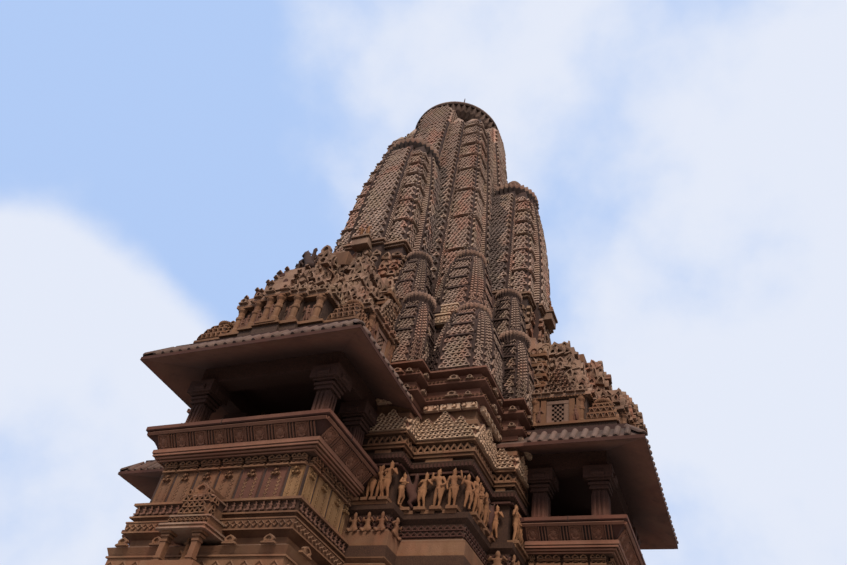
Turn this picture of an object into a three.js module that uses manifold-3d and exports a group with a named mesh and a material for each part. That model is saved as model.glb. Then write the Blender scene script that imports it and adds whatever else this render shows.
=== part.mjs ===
// A stone temple tower on a high moulded plinth, cross-shaped in plan: a hall under a curved spire,
// a canopied balcony on three sides, and an entrance porch with a flight of steps on the fourth.
// Millimetres, +Z up. The origin is on the tower's axis at ground level. -Y is the front balcony,
// +X the right one, -X the left one, and +Y the porch.

import * as THREE from "three";
import { mergeVertices } from "three/addons/utils/BufferGeometryUtils.js";
import Module from "manifold-3d";

const wasm = await Module();
wasm.setup();

// Levels above the ground
const plinthTop = 4000;
const floorTop = 4600;
const seatUnder = 4940;
const seatTop = 5180;
const railTop = 5620;
const beamUnder = 7000;
const wallTop = 7300;
const beamTop = 7430;
const eaveTop = 7750;
const courseTop = 8400;
const roofTop = 11800;
const shoulder = 23200;

// Plan of the tower body, as distances from its axis
const cornerFace = 4270;
const sideFace = 4770;
const sideHalf = 2850;
const hallHalf = 3200;
const passageHalf = 1340;

// Plan of one balcony arm
const plinthArmOut = 6700;
const plinthArmHalf = 1960;
const railOut = 7000;
const railHalf = 2265;
const wallInset = 510;
const seatInset = 290;
const seatDepth = 735;
const railLean = 310;
const railThick = 120;
const pillarInset = 640;
const pillarWide = 400;
const rearPillar = 4980;
const eaveReach = 560;
const armRear = 4540;
const roofRear = 4910;

// Spires
const spireCorner = 2950;
const spireSide = 3180;
const spireFront = 3420;
const spireFrontHalf = 1050;
const spireSideHalf = 2000;
const shoulderCorner = 2000;
const shoulderSide = 2090;
const shoulderFront = 2250;
const shoulderFrontHalf = 710;
const shoulderSideHalf = 1310;
const halfSpireAway = 3000;
const halfSpireFront = 1450;
const halfSpireTop = 19300;
const halfSpireScale = 0.92 / 1.45;
const amalakaRadius = 1950;
const halfAmalakaRadius = 920;

// Porch
const doorHalf = 1240;
const stepCount = 20;
const stepGoing = 290;

const fitGap = 0.3;

const sandstone = { color: 0x9a6a4c, roughness: 0.92, metalness: 0 };
const redStone = { color: 0x84543f, roughness: 0.92, metalness: 0 };
const darkStone = { color: 0x6d5140, roughness: 0.95, metalness: 0 };

// A plan is a closed outline, counterclockwise. Each edge has a share: 1 moves outwards with the moulding's
// offset, 0 stays, and -1 moves the other way, as the inner face of a leaning wall does.
function plan(points, shares = {}) {
  return { points, share: points.map((_, i) => shares[i] ?? 1) };
}

function edgeNormal(points, i) {
  const [ax, ay] = points[i];
  const [bx, by] = points[(i + 1) % points.length];
  const length = Math.hypot(bx - ax, by - ay);
  return [(by - ay) / length, (ax - bx) / length];
}

function offsetPlan({ points, share }, offset, grow) {
  const move = share.map((part) => offset * part + (part ? grow : 0));
  return points.map(([x, y], i) => {
    const before = (i + points.length - 1) % points.length;
    const [ax, ay] = edgeNormal(points, before);
    const [bx, by] = edgeNormal(points, i);
    return [x + ax * move[before] + bx * move[i], y + ay * move[before] + by * move[i]];
  });
}

// A closed body through a stack of outlines that all have the same number of corners.
function loft(outlines, levels) {
  const count = outlines[0].length;
  const vertices = [];
  outlines.forEach((outline, k) => {
    outline.forEach(([x, y]) => vertices.push(x, y, levels[k]));
  });
  const index = [];
  for (let k = 0; k < levels.length - 1; k++) {
    for (let i = 0; i < count; i++) {
      const a = k * count + i;
      const b = k * count + ((i + 1) % count);
      index.push(a, b, b + count, a, b + count, a + count);
    }
  }
  const contour = outlines[0].map(([x, y]) => new THREE.Vector2(x, y));
  const caps = THREE.ShapeUtils.triangulateShape(contour, []);
  const last = (levels.length - 1) * count;
  for (const [a, b, c] of caps) {
    index.push(a, c, b);
    index.push(last + a, last + b, last + c);
  }
  const geometry = new THREE.BufferGeometry();
  geometry.setAttribute("position", new THREE.Float32BufferAttribute(vertices, 3));
  geometry.setIndex(index);
  return geometry;
}

// A moulded wall or course: rings are [offset, level] from the bottom up.
function moulded(outline, rings, grow = 0) {
  const outlines = rings.map(([offset]) => offsetPlan(outline, offset, grow));
  const levels = rings.map(([, level]) => level);
  levels[0] -= grow;
  levels[levels.length - 1] += grow;
  return solid(loft(outlines, levels));
}

function solid(geometry) {
  geometry.deleteAttribute("normal");
  geometry.deleteAttribute("uv");
  const merged = mergeVertices(geometry, 1e-3);
  return new wasm.Manifold(new wasm.Mesh({
    numProp: 3,
    vertProperties: new Float32Array(merged.attributes.position.array),
    triVerts: new Uint32Array(merged.index.array),
  }));
}

function box(x0, x1, y0, y1, z0, z1) {
  const geometry = new THREE.BoxGeometry(x1 - x0, y1 - y0, z1 - z0);
  geometry.translate((x0 + x1) / 2, (y0 + y1) / 2, (z0 + z1) / 2);
  return solid(geometry);
}

// A round body about an upright axis: profile is [radius, level] from the bottom centre to the top centre.
function turned(profile, sides) {
  const points = profile.map(([radius, level]) => new THREE.Vector2(radius, level));
  const geometry = new THREE.LatheGeometry(points, sides);
  geometry.rotateX(Math.PI / 2);
  return solid(geometry);
}

function join(solids) {
  return solids.reduce((whole, next) => whole.add(next));
}

function cut(whole, tools) {
  return tools.reduce((left, tool) => left.subtract(tool), whole);
}

// The largest of the pieces that a cut leaves.
function mainPiece(whole) {
  const pieces = whole.decompose();
  return pieces.reduce((best, next) => (next.volume() > best.volume() ? next : best));
}

const temple = new THREE.Group();

function add(name, whole, look, quarter = 0) {
  const source = whole.getMesh();
  const vertices = new Float32Array(source.numVert * 3);
  for (let i = 0; i < source.numVert; i++) {
    for (let j = 0; j < 3; j++) {
      vertices[3 * i + j] = source.vertProperties[source.numProp * i + j];
    }
  }
  const geometry = new THREE.BufferGeometry();
  geometry.setAttribute("position", new THREE.BufferAttribute(quarterTurn(vertices, quarter), 3));
  geometry.setIndex(new THREE.BufferAttribute(new Uint32Array(source.triVerts), 1));
  geometry.computeVertexNormals();
  const mesh = new THREE.Mesh(geometry, new THREE.MeshStandardMaterial(look));
  mesh.name = name;
  temple.add(mesh);
}

// Whole quarter turns about the tower's axis, exact in every coordinate.
function quarterTurn(vertices, quarter) {
  for (let turn = 0; turn < quarter; turn++) {
    for (let i = 0; i < vertices.length; i += 3) {
      const x = vertices[i];
      vertices[i] = -vertices[i + 1];
      vertices[i + 1] = x;
    }
  }
  return vertices;
}

// What stands on a corner is modelled at the front right one and turned into its place.
const cornerNames = ["front_right", "back_right", "back_left", "front_left"];

// Each arm is modelled at the front, towards -Y, and turned into its place.
const arms = [
  { side: "front", quarter: 0 },
  { side: "right", quarter: 1 },
  { side: "back", quarter: 2 },
  { side: "left", quarter: 3 },
];

// The tower's full outline: one quadrant's corners, turned four times.
function fourfold(quadrant) {
  const points = [];
  for (let turn = 0; turn < 4; turn++) {
    for (const [x, y] of quadrant) {
      points.push([[x, y], [-y, x], [-x, -y], [y, -x]][turn]);
    }
  }
  return points;
}

const corner = [
  [sideFace, sideHalf], [cornerFace, sideHalf], [cornerFace, cornerFace],
  [sideHalf, cornerFace], [sideHalf, sideFace],
];

// Plinth: a solid moulded mass
const plinthRings = [
  [420, 0], [420, 450], [330, 560], [330, 900], [200, 1000], [200, 1350], [300, 1550], [90, 1850], [90, 2150],
  [210, 2300], [20, 2560], [20, 2900], [90, 3050], [-170, 3180], [-170, 3300], [-30, 3400], [-10, 3570],
  [-120, 3620], [-60, 3700], [-60, plinthTop],
];

function plinthPlan() {
  const quadrant = [
    [plinthArmOut, -plinthArmHalf], [plinthArmOut, plinthArmHalf], [sideFace, plinthArmHalf],
    ...corner, [plinthArmHalf, sideFace],
  ];
  return plan(fourfold(quadrant));
}

// Niche shrine on the front of a balcony's base: a sill, two posts under a sloping slab, and a stepped roof
const niche = {
  rear: 6300, sillHalf: 580, sillOut: 7260, sillUnder: 2380, sillTop: 2600,
  postAt: 350, postOut: 7100, post: 120, slabHalf: 520, slabOut: 7250, slabUnder: 3190, slabTop: 3270,
  ledgeHalf: 455, ledgeOut: 7130, ledgeTop: 3470, bodyHalf: 310, bodyOut: 7090, bodyTop: 3870,
  crestHalf: 150, crestOut: 7040, crestTop: 4080,
};

// A block of the shrine, the same on both sides of its centre line
const nicheBlock = (half, out, under, top, rear = niche.rear) => box(-half, half, -out, -rear, under, top);

function nicheShrine() {
  const { postAt, postOut, sillTop, slabUnder } = niche;
  const half = niche.post / 2;
  const posts = [-postAt, postAt].map((u) => (
    box(u - half, u + half, -postOut - half, -postOut + half, sillTop, slabUnder)
  ));
  return join([
    nicheBlock(niche.sillHalf, niche.sillOut, niche.sillUnder, niche.sillTop), ...posts,
    nicheBlock(niche.slabHalf, niche.slabOut, niche.slabUnder, niche.slabTop),
    nicheBlock(niche.ledgeHalf, niche.ledgeOut, niche.slabTop, niche.ledgeTop),
    nicheBlock(niche.bodyHalf, niche.bodyOut, niche.ledgeTop, niche.bodyTop),
    nicheBlock(niche.crestHalf, niche.crestOut, niche.bodyTop, niche.crestTop, railOut - wallInset),
  ]);
}

function plinth() {
  const mass = moulded(plinthPlan(), plinthRings);
  const shrine = nicheShrine();
  const shrines = [0, 90, 270].map((angle) => shrine.rotate([0, 0, angle]));
  return join([mass, ...shrines]);
}

// Hall floor: a cross-shaped bed of stone between the walls and out into the arms
const floorOut = railOut - wallInset - (railHalf - wallInset - passageHalf);

function floorPlan() {
  return plan(fourfold([
    [floorOut, -passageHalf], [floorOut, passageHalf], [hallHalf, passageHalf], [hallHalf, hallHalf],
    [passageHalf, hallHalf],
  ]));
}

// Corner walls: L-shaped, with the mouldings on their outer faces only
const wallRings = [
  [-60, plinthTop], [-60, 4240], [-150, 4300], [-150, 4620], [-60, 4700], [-50, 4820], [-240, 4880],
  [-240, 5800], [-90, 5880], [-60, 5990], [-200, 6080], [-200, 6820], [-90, 6900], [-90, 7010],
  [-170, 7080], [-170, wallTop],
];

function wallPlan() {
  const points = [
    [passageHalf, -sideFace], [sideHalf, -sideFace], [sideHalf, -cornerFace], [cornerFace, -cornerFace],
    [cornerFace, -sideHalf], [sideFace, -sideHalf], [sideFace, -passageHalf], [hallHalf, -passageHalf],
    [hallHalf, -hallHalf], [passageHalf, -hallHalf],
  ];
  return plan(points, { 6: 0, 7: 0, 8: 0, 9: 0 });
}

const cornerWall = (grow = 0) => moulded(wallPlan(), wallRings, grow);

// Two corner walls of one arm, a little larger all round, to cut what butts against them
const wallTools = [cornerWall(fitGap), cornerWall(fitGap).rotate([0, 0, -90])];

// Upper course: three stacked cornices over the walls, solid across, so that its underside is the ceiling
const courseRings = [
  [-100, wallTop], [-100, 7420], [60, 7500], [60, 7560], [-120, 7690], [-120, 7880], [50, 7970],
  [50, 8030], [-130, 8150], [-130, 8290], [40, 8350], [40, courseTop],
];
const courseNotch = 4300;

function coursePlan() {
  const points = fourfold([
    [courseNotch, -passageHalf], [courseNotch, passageHalf], [sideFace, passageHalf], ...corner,
    [passageHalf, sideFace],
  ]);
  const shares = {};
  for (let turn = 0; turn < 4; turn++) {
    const first = turn * 9;
    shares[first] = 0;
    shares[first + 1] = 0;
    shares[first + 8] = 0;
  }
  return plan(points, shares);
}

const course = (grow = 0) => moulded(coursePlan(), courseRings, grow);
const courseTool = course(fitGap);

// A U-shaped outline round three sides of an arm, open towards the hall. Its inner edges have share inner.
function uPlan(outHalf, out, inHalf, inOut, rear, inner) {
  const points = [
    [-inHalf, -rear], [-outHalf, -rear], [-outHalf, -out], [outHalf, -out], [outHalf, -rear],
    [inHalf, -rear], [inHalf, -inOut], [-inHalf, -inOut],
  ];
  return plan(points, { 0: 0, 4: 0, 5: inner, 6: inner, 7: inner });
}

// Balcony base: the panelled wall and the seat slab on it
const seatRings = [[-130, seatUnder], [0, 5070], [0, seatTop]];

function balconyBase() {
  const half = railHalf - wallInset;
  const out = railOut - wallInset;
  const thick = half - passageHalf;
  const wallOutline = uPlan(half, out, passageHalf, out - thick, armRear, 0);
  const wall = moulded(wallOutline, [[0, plinthTop], [0, seatUnder]]);
  const slab = moulded(
    uPlan(railHalf - seatInset, railOut - seatInset, railHalf - seatInset - seatDepth,
      railOut - seatInset - seatDepth, armRear, 0), seatRings);
  return cut(join([wall, slab]), wallTools);
}

// Leaning parapet: the back rest of the seat, with a thicker top rail
const railRings = [[-railLean, seatTop], [-40, railTop - 110], [0, railTop - 100], [0, railTop]];
const railPlan = uPlan(railHalf, railOut, railHalf - railThick, railOut - railThick, armRear, -1);

const balconyRail = () => cut(moulded(railPlan, railRings), wallTools);

// Colonnade: four dwarf pillars on the seat, their brackets, and the beam round three sides
function pillar(u, v) {
  const half = pillarWide / 2;
  const shaft = half - 40;
  const parts = [
    box(u - half, u + half, -v - half, -v + half, seatTop, seatTop + 330),
    box(u - shaft, u + shaft, -v - shaft, -v + shaft, seatTop + 330, 6480),
    box(u - half, u + half, -v - half, -v + half, 6480, 6700),
    box(u - half - 130, u + half + 130, -v - half - 130, -v + half + 130, 6700, beamUnder),
  ];
  return join(parts);
}

function colonnade() {
  const u = railHalf - pillarInset;
  const v = railOut - pillarInset;
  const half = pillarWide / 2;
  const pillars = [[-u, v], [u, v], [-u, rearPillar], [u, rearPillar]].map(([x, y]) => pillar(x, y));
  const beam = moulded(uPlan(u + half, v + half, u - half, v - half, armRear, 0),
    [[0, beamUnder], [0, beamTop]]);
  return cut(join([beam, ...pillars]), [...wallTools, courseTool]);
}

// Eave: a slab over the arm with a broad edge that slopes down on three sides
const eaveSlope = eaveReach + pillarInset - pillarWide / 2;
const eaveRings = [[-eaveSlope, beamTop], [0, 7090], [0, 7170], [-400, 7620], [-400, eaveTop]];
const eaveRear = 4200;

function eave() {
  const half = railHalf + eaveReach;
  const out = railOut + eaveReach;
  const rear = eaveRear - eaveSlope - 100;
  const whole = moulded(plan([[-half, -rear], [-half, -out], [half, -out], [half, -rear]]), eaveRings);
  const behind = box(-half - 100, half + 100, -eaveRear, 0, 7000, 7900);
  return cut(whole, [behind, ...wallTools, courseTool]);
}

// Arm roof: a row of niches under a cornice, a stepped front that climbs from it to the foot of the
// half spire, and a small turret with a stepped roof on each outer corner. Each tier gives the outer
// corners of its right half as [half-width, distance from the axis], from the side to the middle.
const roofCrest = 11540;
const roofTiers = [
  { half: [[2180, 6880], [1390, 6960], [780, 7070], [350, 7140]], rings: [[0, eaveTop], [0, 8070]] },
  { half: [[1950, 6150], [1180, 6830], [640, 6950], [230, 7050]],
    rings: [[0, 8070], [0, 8880], [120, 8920], [120, 9010], [0, 9050]] },
  { half: [[1700, 6100], [1250, 6860], [700, 7000], [300, 7200]], rings: [[0, 9050], [0, 9280]] },
  { half: [[1620, 6080], [1000, 6860], [560, 6980], [290, 7150]], rings: [[0, 9280], [0, 9500]] },
  { half: [[1500, 6060], [760, 6860], [280, 7090]], rings: [[0, 9500], [0, 9720]] },
  { half: [[1380, 6020], [560, 6800], [300, 6900]], rings: [[0, 9720], [0, 10040]] },
  { half: [[1260, 5850], [350, 6330]], rings: [[0, 10040], [0, 10650]] },
  { half: [[1120, 5650], [330, 6180]], rings: [[0, 10650], [0, 11250]] },
  { half: [[1000, 5450]], rings: [[0, 11250], [0, roofCrest]] },
];
const roofCore = { half: 1090, front: 4500, back: 2500, wide: 1600, wideRear: 4260, wideTop: 10900 };
const roofNeck = 4200;
const turret = { at: [1800, 6520], half: 350, rings: [
  [0, 8070], [0, 8250], [-70, 8290], [-50, 8430], [-140, 8470], [-130, 8590], [-210, 8640], [-230, 8780],
] };

function tierPlan(half) {
  const points = [];
  half.forEach(([u, v], i) => {
    if (i > 0) points.push([u, -half[i - 1][1]]);
    points.push([u, -v]);
  });
  const left = points.map(([u, v]) => [-u, v]);
  const outline = [[-half[0][0], -roofRear], ...left, ...points.reverse(), [half[0][0], -roofRear]];
  return plan(outline, { [outline.length - 1]: 0 });
}

function cornerTurret(hand) {
  const [u, v] = turret.at;
  const square = [[-1, -1], [1, -1], [1, 1], [-1, 1]].map(([i, j]) => (
    [hand * u + i * turret.half, -v + j * turret.half]
  ));
  return moulded(plan(square), turret.rings);
}

function armRoof() {
  const tiers = roofTiers.map(({ half, rings }) => moulded(tierPlan(half), rings));
  const core = box(-roofCore.half, roofCore.half, -roofRear - 10, -roofCore.back, courseTop, roofCrest);
  const foot = box(-roofCore.half, roofCore.half, -roofCore.front, -roofCore.back, roofCrest, roofTop);
  const low = box(
    -roofCore.wide, roofCore.wide, -roofRear - 10, -roofCore.wideRear, eaveTop, roofCore.wideTop);
  const neck = box(-passageHalf, passageHalf, -roofRear - 10, -roofNeck, eaveTop, courseTop);
  const whole = join([core, foot, low, neck, cornerTurret(-1), cornerTurret(1), ...tiers]);
  return mainPiece(cut(whole, [courseTool, spireTool]));
}

// Curved spires: the outline at the foot draws in to the outline at the top along a curve
function curvedSpire(foot, head, { base, top, bulge, steps, at: [x, y] }, grow = 0) {
  const outlines = [];
  const levels = [];
  for (let k = 0; k <= steps; k++) {
    const t = (k / steps) ** bulge;
    outlines.push(foot.map(([u, v], i) => [
      x + u + (head[i][0] - u) * t + Math.sign(u) * grow, y + v + (head[i][1] - v) * t + Math.sign(v) * grow,
    ]));
    levels.push(base + (top - base) * (k / steps));
  }
  levels[0] -= grow;
  levels[steps] += grow;
  return solid(loft(outlines, levels));
}

// A spire's outline: a broad central band, a narrower one set back from it, and the corner
function bandedOutline(front, frontHalf, side, sideEnd, cornerAt) {
  return fourfold([
    [front, -frontHalf], [front, frontHalf], [side, frontHalf], [side, sideEnd], [cornerAt, sideEnd],
    [cornerAt, cornerAt], [sideEnd, cornerAt], [sideEnd, side], [frontHalf, side],
  ]);
}

const spireFoot = bandedOutline(spireFront, spireFrontHalf, spireSide, spireSideHalf, spireCorner);
const spireHead = bandedOutline(
  shoulderFront, shoulderFrontHalf, shoulderSide, shoulderSideHalf, shoulderCorner);

const mainSpire = (grow = 0) => curvedSpire(
  spireFoot, spireHead, { base: courseTop, top: shoulder, bulge: 1.55, steps: 9, at: [0, 0] }, grow);
const spireTool = mainSpire(fitGap);

// A ribbed cushion stone on a short neck, plain here, with a cap on it
function cushion(radius, { under, thick, capRadius, capTop, sides }) {
  const top = under + thick;
  return turned([
    [0, under - thick], [radius * 0.7, under - thick], [radius, under + thick * 0.25],
    [radius, under + thick * 0.75], [capRadius, top], [capRadius * 0.8, capTop], [0, capTop],
  ], sides);
}

const scaled = (outline, scale) => outline.map(([u, v]) => [u * scale, v * scale]);

const halfSpireFoot = fourfold([
  [halfSpireFront, -620], [halfSpireFront, 620], [1220, 620], [1220, 1220], [620, 1220],
]);
const halfSpireHead = scaled(halfSpireFoot, halfSpireScale);
const halfDisc = { under: 19420, thick: 300, capRadius: 380, capTop: 20250, sides: 16 };
const spireBracket = { half: 260, out: 4740, rear: 4300, under: 13200, top: 13480 };

function halfSpire(grow = 0) {
  const at = [0, -halfSpireAway];
  const body = curvedSpire(
    halfSpireFoot, halfSpireHead, { base: roofTop, top: halfSpireTop, bulge: 3, steps: 7, at }, grow);
  const disc = cushion(halfAmalakaRadius + grow, halfDisc).translate([...at, 0]);
  const { half, out, rear, under, top } = spireBracket;
  return join([body, disc, box(-half, half, -out, -rear, under, top)]);
}

const halfSpireTool = halfSpire(fitGap);

// Spirelets: small curved spires with a cushion and a cap, in stacks of two
function spireletOutline(half) {
  const side = half * 0.84;
  const wide = half * 0.56;
  return fourfold([[half, -wide], [half, wide], [side, side]]);
}

function spirelet({ at, half, base, top, radius, discTop, capTop }) {
  const outline = spireletOutline(half);
  const body = curvedSpire(outline, scaled(outline, 0.6), { base, top, bulge: 2.2, steps: 3, at });
  const under = top + 80;
  const capRadius = radius * 0.45;
  const disc = cushion(radius, { under, thick: discTop - under, capRadius, capTop, sides: 10 });
  const placed = outline.map(([u, v]) => [at[0] + u, at[1] + v]);
  const pier = solid(loft([placed, placed], [courseTop, base]));
  return join([pier, body, disc.translate([...at, 0])]);
}

const cornerLower = { half: 780, base: 8900, top: 10580, radius: 450, discTop: 10900, capTop: 11250 };
const cornerUpper = { half: 720, base: 11300, top: 13400, radius: 460, discTop: 13740, capTop: 14150 };
const flankLower = { half: 510, base: 8900, top: 10600, radius: 420, discTop: 10900, capTop: 11200 };
const flankUpper = { half: 490, base: 11200, top: 12850, radius: 380, discTop: 13130, capTop: 13450 };
const cornerLowerAt = 3470;
const cornerUpperAt = 2860;
const flankLowerAt = [2165, -4220];
const flankUpperAt = [1600, -3750];

function spireletStack(lower, upper, tools) {
  return mainPiece(cut(join([spirelet(lower), spirelet(upper)]), tools));
}

function cornerStack() {
  return spireletStack(
    { ...cornerLower, at: [cornerLowerAt, -cornerLowerAt] },
    { ...cornerUpper, at: [cornerUpperAt, -cornerUpperAt] }, [spireTool]);
}

function flankStack(hand) {
  return spireletStack(
    { ...flankLower, at: [hand * flankLowerAt[0], flankLowerAt[1]] },
    { ...flankUpper, at: [hand * flankUpperAt[0], flankUpperAt[1]] }, [spireTool, halfSpireTool]);
}

// Porch sides: the balcony's base, seat and parapet, left and right of the way in
function porchSide(hand) {
  const whole = join([balconyBase(), balconyRail()]);
  const [from, to] = hand > 0 ? [doorHalf, railHalf + 100] : [-railHalf - 100, -doorHalf];
  const keep = box(from, to, -railOut - 100, -armRear + 100, plinthTop, railTop);
  return mainPiece(whole.intersect(keep));
}

// Steps up to the porch: one flight from the ground to the floor, with a stepped cheek wall on each side
const cheek = { thick: 380, levels: [1200, 2600, 4000], setBack: [0, 1700, 3600] };

function porchSteps() {
  const rise = floorTop / stepCount;
  const foot = plinthArmOut + plinthRings[0][0];
  const end = foot + (stepCount - 1) * stepGoing;
  const shape = new THREE.Shape();
  shape.moveTo(floorOut, 0);
  for (let k = 0; k < stepCount; k++) {
    shape.lineTo(end - k * stepGoing, k * rise);
    shape.lineTo(end - k * stepGoing, (k + 1) * rise);
  }
  shape.lineTo(floorOut, floorTop);
  const flight = new THREE.ExtrudeGeometry(shape, { depth: 2 * doorHalf, bevelEnabled: false });
  flight.rotateX(Math.PI / 2);
  flight.rotateZ(-Math.PI / 2);
  flight.translate(doorHalf, 0, 0);
  const cheeks = [-1, 1].flatMap((hand) => {
    const faces = [hand * doorHalf, hand * (doorHalf + cheek.thick)].sort((a, b) => a - b);
    return cheek.levels.map((level, i) => (
      box(faces[0], faces[1], -end + cheek.setBack[i], -foot + 500, i ? cheek.levels[i - 1] : 0, level)
    ));
  });
  return mainPiece(cut(join([solid(flight), ...cheeks]), [moulded(plinthPlan(), plinthRings, fitGap)]));
}

// Crown: neck, cushion stone and finial
function crown() {
  return turned([
    [0, shoulder], [1400, shoulder], [1320, 24450], [amalakaRadius, 24800], [amalakaRadius, 25250],
    [1650, 25600], [1050, 25620], [700, 26050], [0, 26050],
  ], 28);
}

function finial() {
  return turned([
    [0, 26050], [420, 26050], [260, 26250], [600, 26600], [600, 26850], [220, 27180],
    [330, 27300], [120, 27420], [170, 27600], [30, 27950], [25, 28850], [0, 28850],
  ], 12);
}

add("plinth", plinth(), sandstone);
add("hall_floor", moulded(floorPlan(), [[0, plinthTop], [0, floorTop]]), sandstone);

const wall = cornerWall();
cornerNames.forEach((name, quarter) => {
  add(`corner_wall_${name}`, wall, sandstone, quarter);
});
add("cornice_course", course(), redStone);

const stack = cornerStack();
cornerNames.forEach((name, quarter) => {
  add(`corner_spirelets_${name}`, stack, darkStone, quarter);
});

const base = balconyBase();
const rail = balconyRail();
const pillars = colonnade();
const eaveSlab = eave();
const roof = armRoof();
const spireBody = mainPiece(cut(halfSpire(), [spireTool]));
const flankLeft = flankStack(-1);
const flankRight = flankStack(1);
for (const { side, quarter } of arms) {
  if (side === "back") {
    add("porch_side_left", porchSide(-1), redStone, quarter);
    add("porch_side_right", porchSide(1), redStone, quarter);
    add("porch_steps", porchSteps(), sandstone, quarter);
  } else {
    add(`balcony_base_${side}`, base, sandstone, quarter);
    add(`balcony_rail_${side}`, rail, redStone, quarter);
  }
  add(`colonnade_${side}`, pillars, sandstone, quarter);
  add(`eave_${side}`, eaveSlab, redStone, quarter);
  add(`arm_roof_${side}`, roof, sandstone, quarter);
  add(`half_spire_${side}`, spireBody, darkStone, quarter);
  add(`flank_spirelets_${side}_a`, flankLeft, darkStone, quarter);
  add(`flank_spirelets_${side}_b`, flankRight, darkStone, quarter);
}

add("main_spire", mainSpire(), darkStone);
add("crown", crown(), darkStone);
add("finial", finial(), darkStone);

export default temple;
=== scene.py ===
# Looks of the stone temple tower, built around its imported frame.
# Metres, Z up, the front balcony towards -Y.
import math
import random
import bpy
import bmesh
import numpy as np
from mathutils import Matrix, Vector


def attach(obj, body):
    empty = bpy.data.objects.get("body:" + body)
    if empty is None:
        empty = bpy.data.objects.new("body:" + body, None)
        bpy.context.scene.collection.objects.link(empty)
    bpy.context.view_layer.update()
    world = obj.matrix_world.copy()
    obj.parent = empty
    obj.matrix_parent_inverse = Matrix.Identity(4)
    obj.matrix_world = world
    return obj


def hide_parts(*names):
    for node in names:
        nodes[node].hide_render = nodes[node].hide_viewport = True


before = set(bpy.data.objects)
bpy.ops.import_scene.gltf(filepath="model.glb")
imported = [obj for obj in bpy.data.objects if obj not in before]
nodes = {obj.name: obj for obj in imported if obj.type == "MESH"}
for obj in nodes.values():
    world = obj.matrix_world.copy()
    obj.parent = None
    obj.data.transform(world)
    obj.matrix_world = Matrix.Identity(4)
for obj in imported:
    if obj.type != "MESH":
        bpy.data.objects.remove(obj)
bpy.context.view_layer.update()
chance = random.Random(7)


# stone
def plug(slot, value):
    # gives a slot a value, or links a wire to it
    if isinstance(value, Wire):
        slot.id_data.links.new(value.socket, slot)
    else:
        slot.default_value = value


class Wire:
    # a socket, with arithmetic
    def __init__(self, maker, socket):
        self.maker = maker
        self.socket = socket

    def maths(self, operation, *values):
        return self.maker.node("Math", {"operation": operation}, dict(enumerate(values)))

    def __add__(self, other):
        return self.maths("ADD", self, other)

    def __mul__(self, other):
        return self.maths("MULTIPLY", self, other)

    def __sub__(self, other):
        return self.maths("SUBTRACT", self, other)

    def __rsub__(self, other):
        return self.maths("SUBTRACT", other, self)

    __radd__ = __add__
    __rmul__ = __mul__

    def atLeast(self, other):
        return self.maths("MAXIMUM", self, other)

    def between(self, low, high):
        return self.maker.node("MapRange", {"interpolation_type": "SMOOTHSTEP"}, {0: self, 1: low, 2: high})


class Maker:
    # makes the nodes of one tree
    def __init__(self, tree):
        self.tree = tree

    def node(self, kind, settings=None, values=None, out=0):
        made = self.tree.nodes.new("ShaderNode" + kind)
        for key, value in (settings or {}).items():
            setattr(made, key, value)
        for key, value in (values or {}).items():
            plug(made.inputs[key], value)
        return Wire(self, made.outputs[out])

    def mix(self, factor, first, second):
        return self.node("Mix", {"data_type": "RGBA"}, {0: factor, 6: first, 7: second}, out=2)

    def noise(self, place, scale, detail=4, stretch=(1, 1, 1)):
        grid = self.node("Mapping", None, {"Vector": place, "Scale": stretch})
        values = {"Vector": grid, "Scale": scale, "Detail": detail, "Roughness": .6}
        return self.node("TexNoise", None, values)


class Finish(Maker):
    # the nodes of a material
    def __init__(self, name):
        self.material = bpy.data.materials.new(name)
        self.material.use_nodes = True
        super().__init__(self.material.node_tree)
        self.slots = self.tree.nodes["Principled BSDF"].inputs


def colour(red, green, blue, alpha=1.0):
    # from the values that a picture shows, 0 to 255, to the shader's own
    return tuple((c / 255) ** 2.2 for c in (red, green, blue)) + (alpha,)


# what a stone has unless its row says otherwise: sootAndShade is the share of soot in streaks, top is
# lichen on what faces up and under is painted shade on what faces down; course is the height of a course,
# with 0 for none, and shade is the levels that are painted dark as shade
usual = {"sootAndShade": .5, "top": .3, "under": .55, "rust": .25, "moss": .25, "course": 0, "bump": .5,
         "shade": ()}
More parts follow.
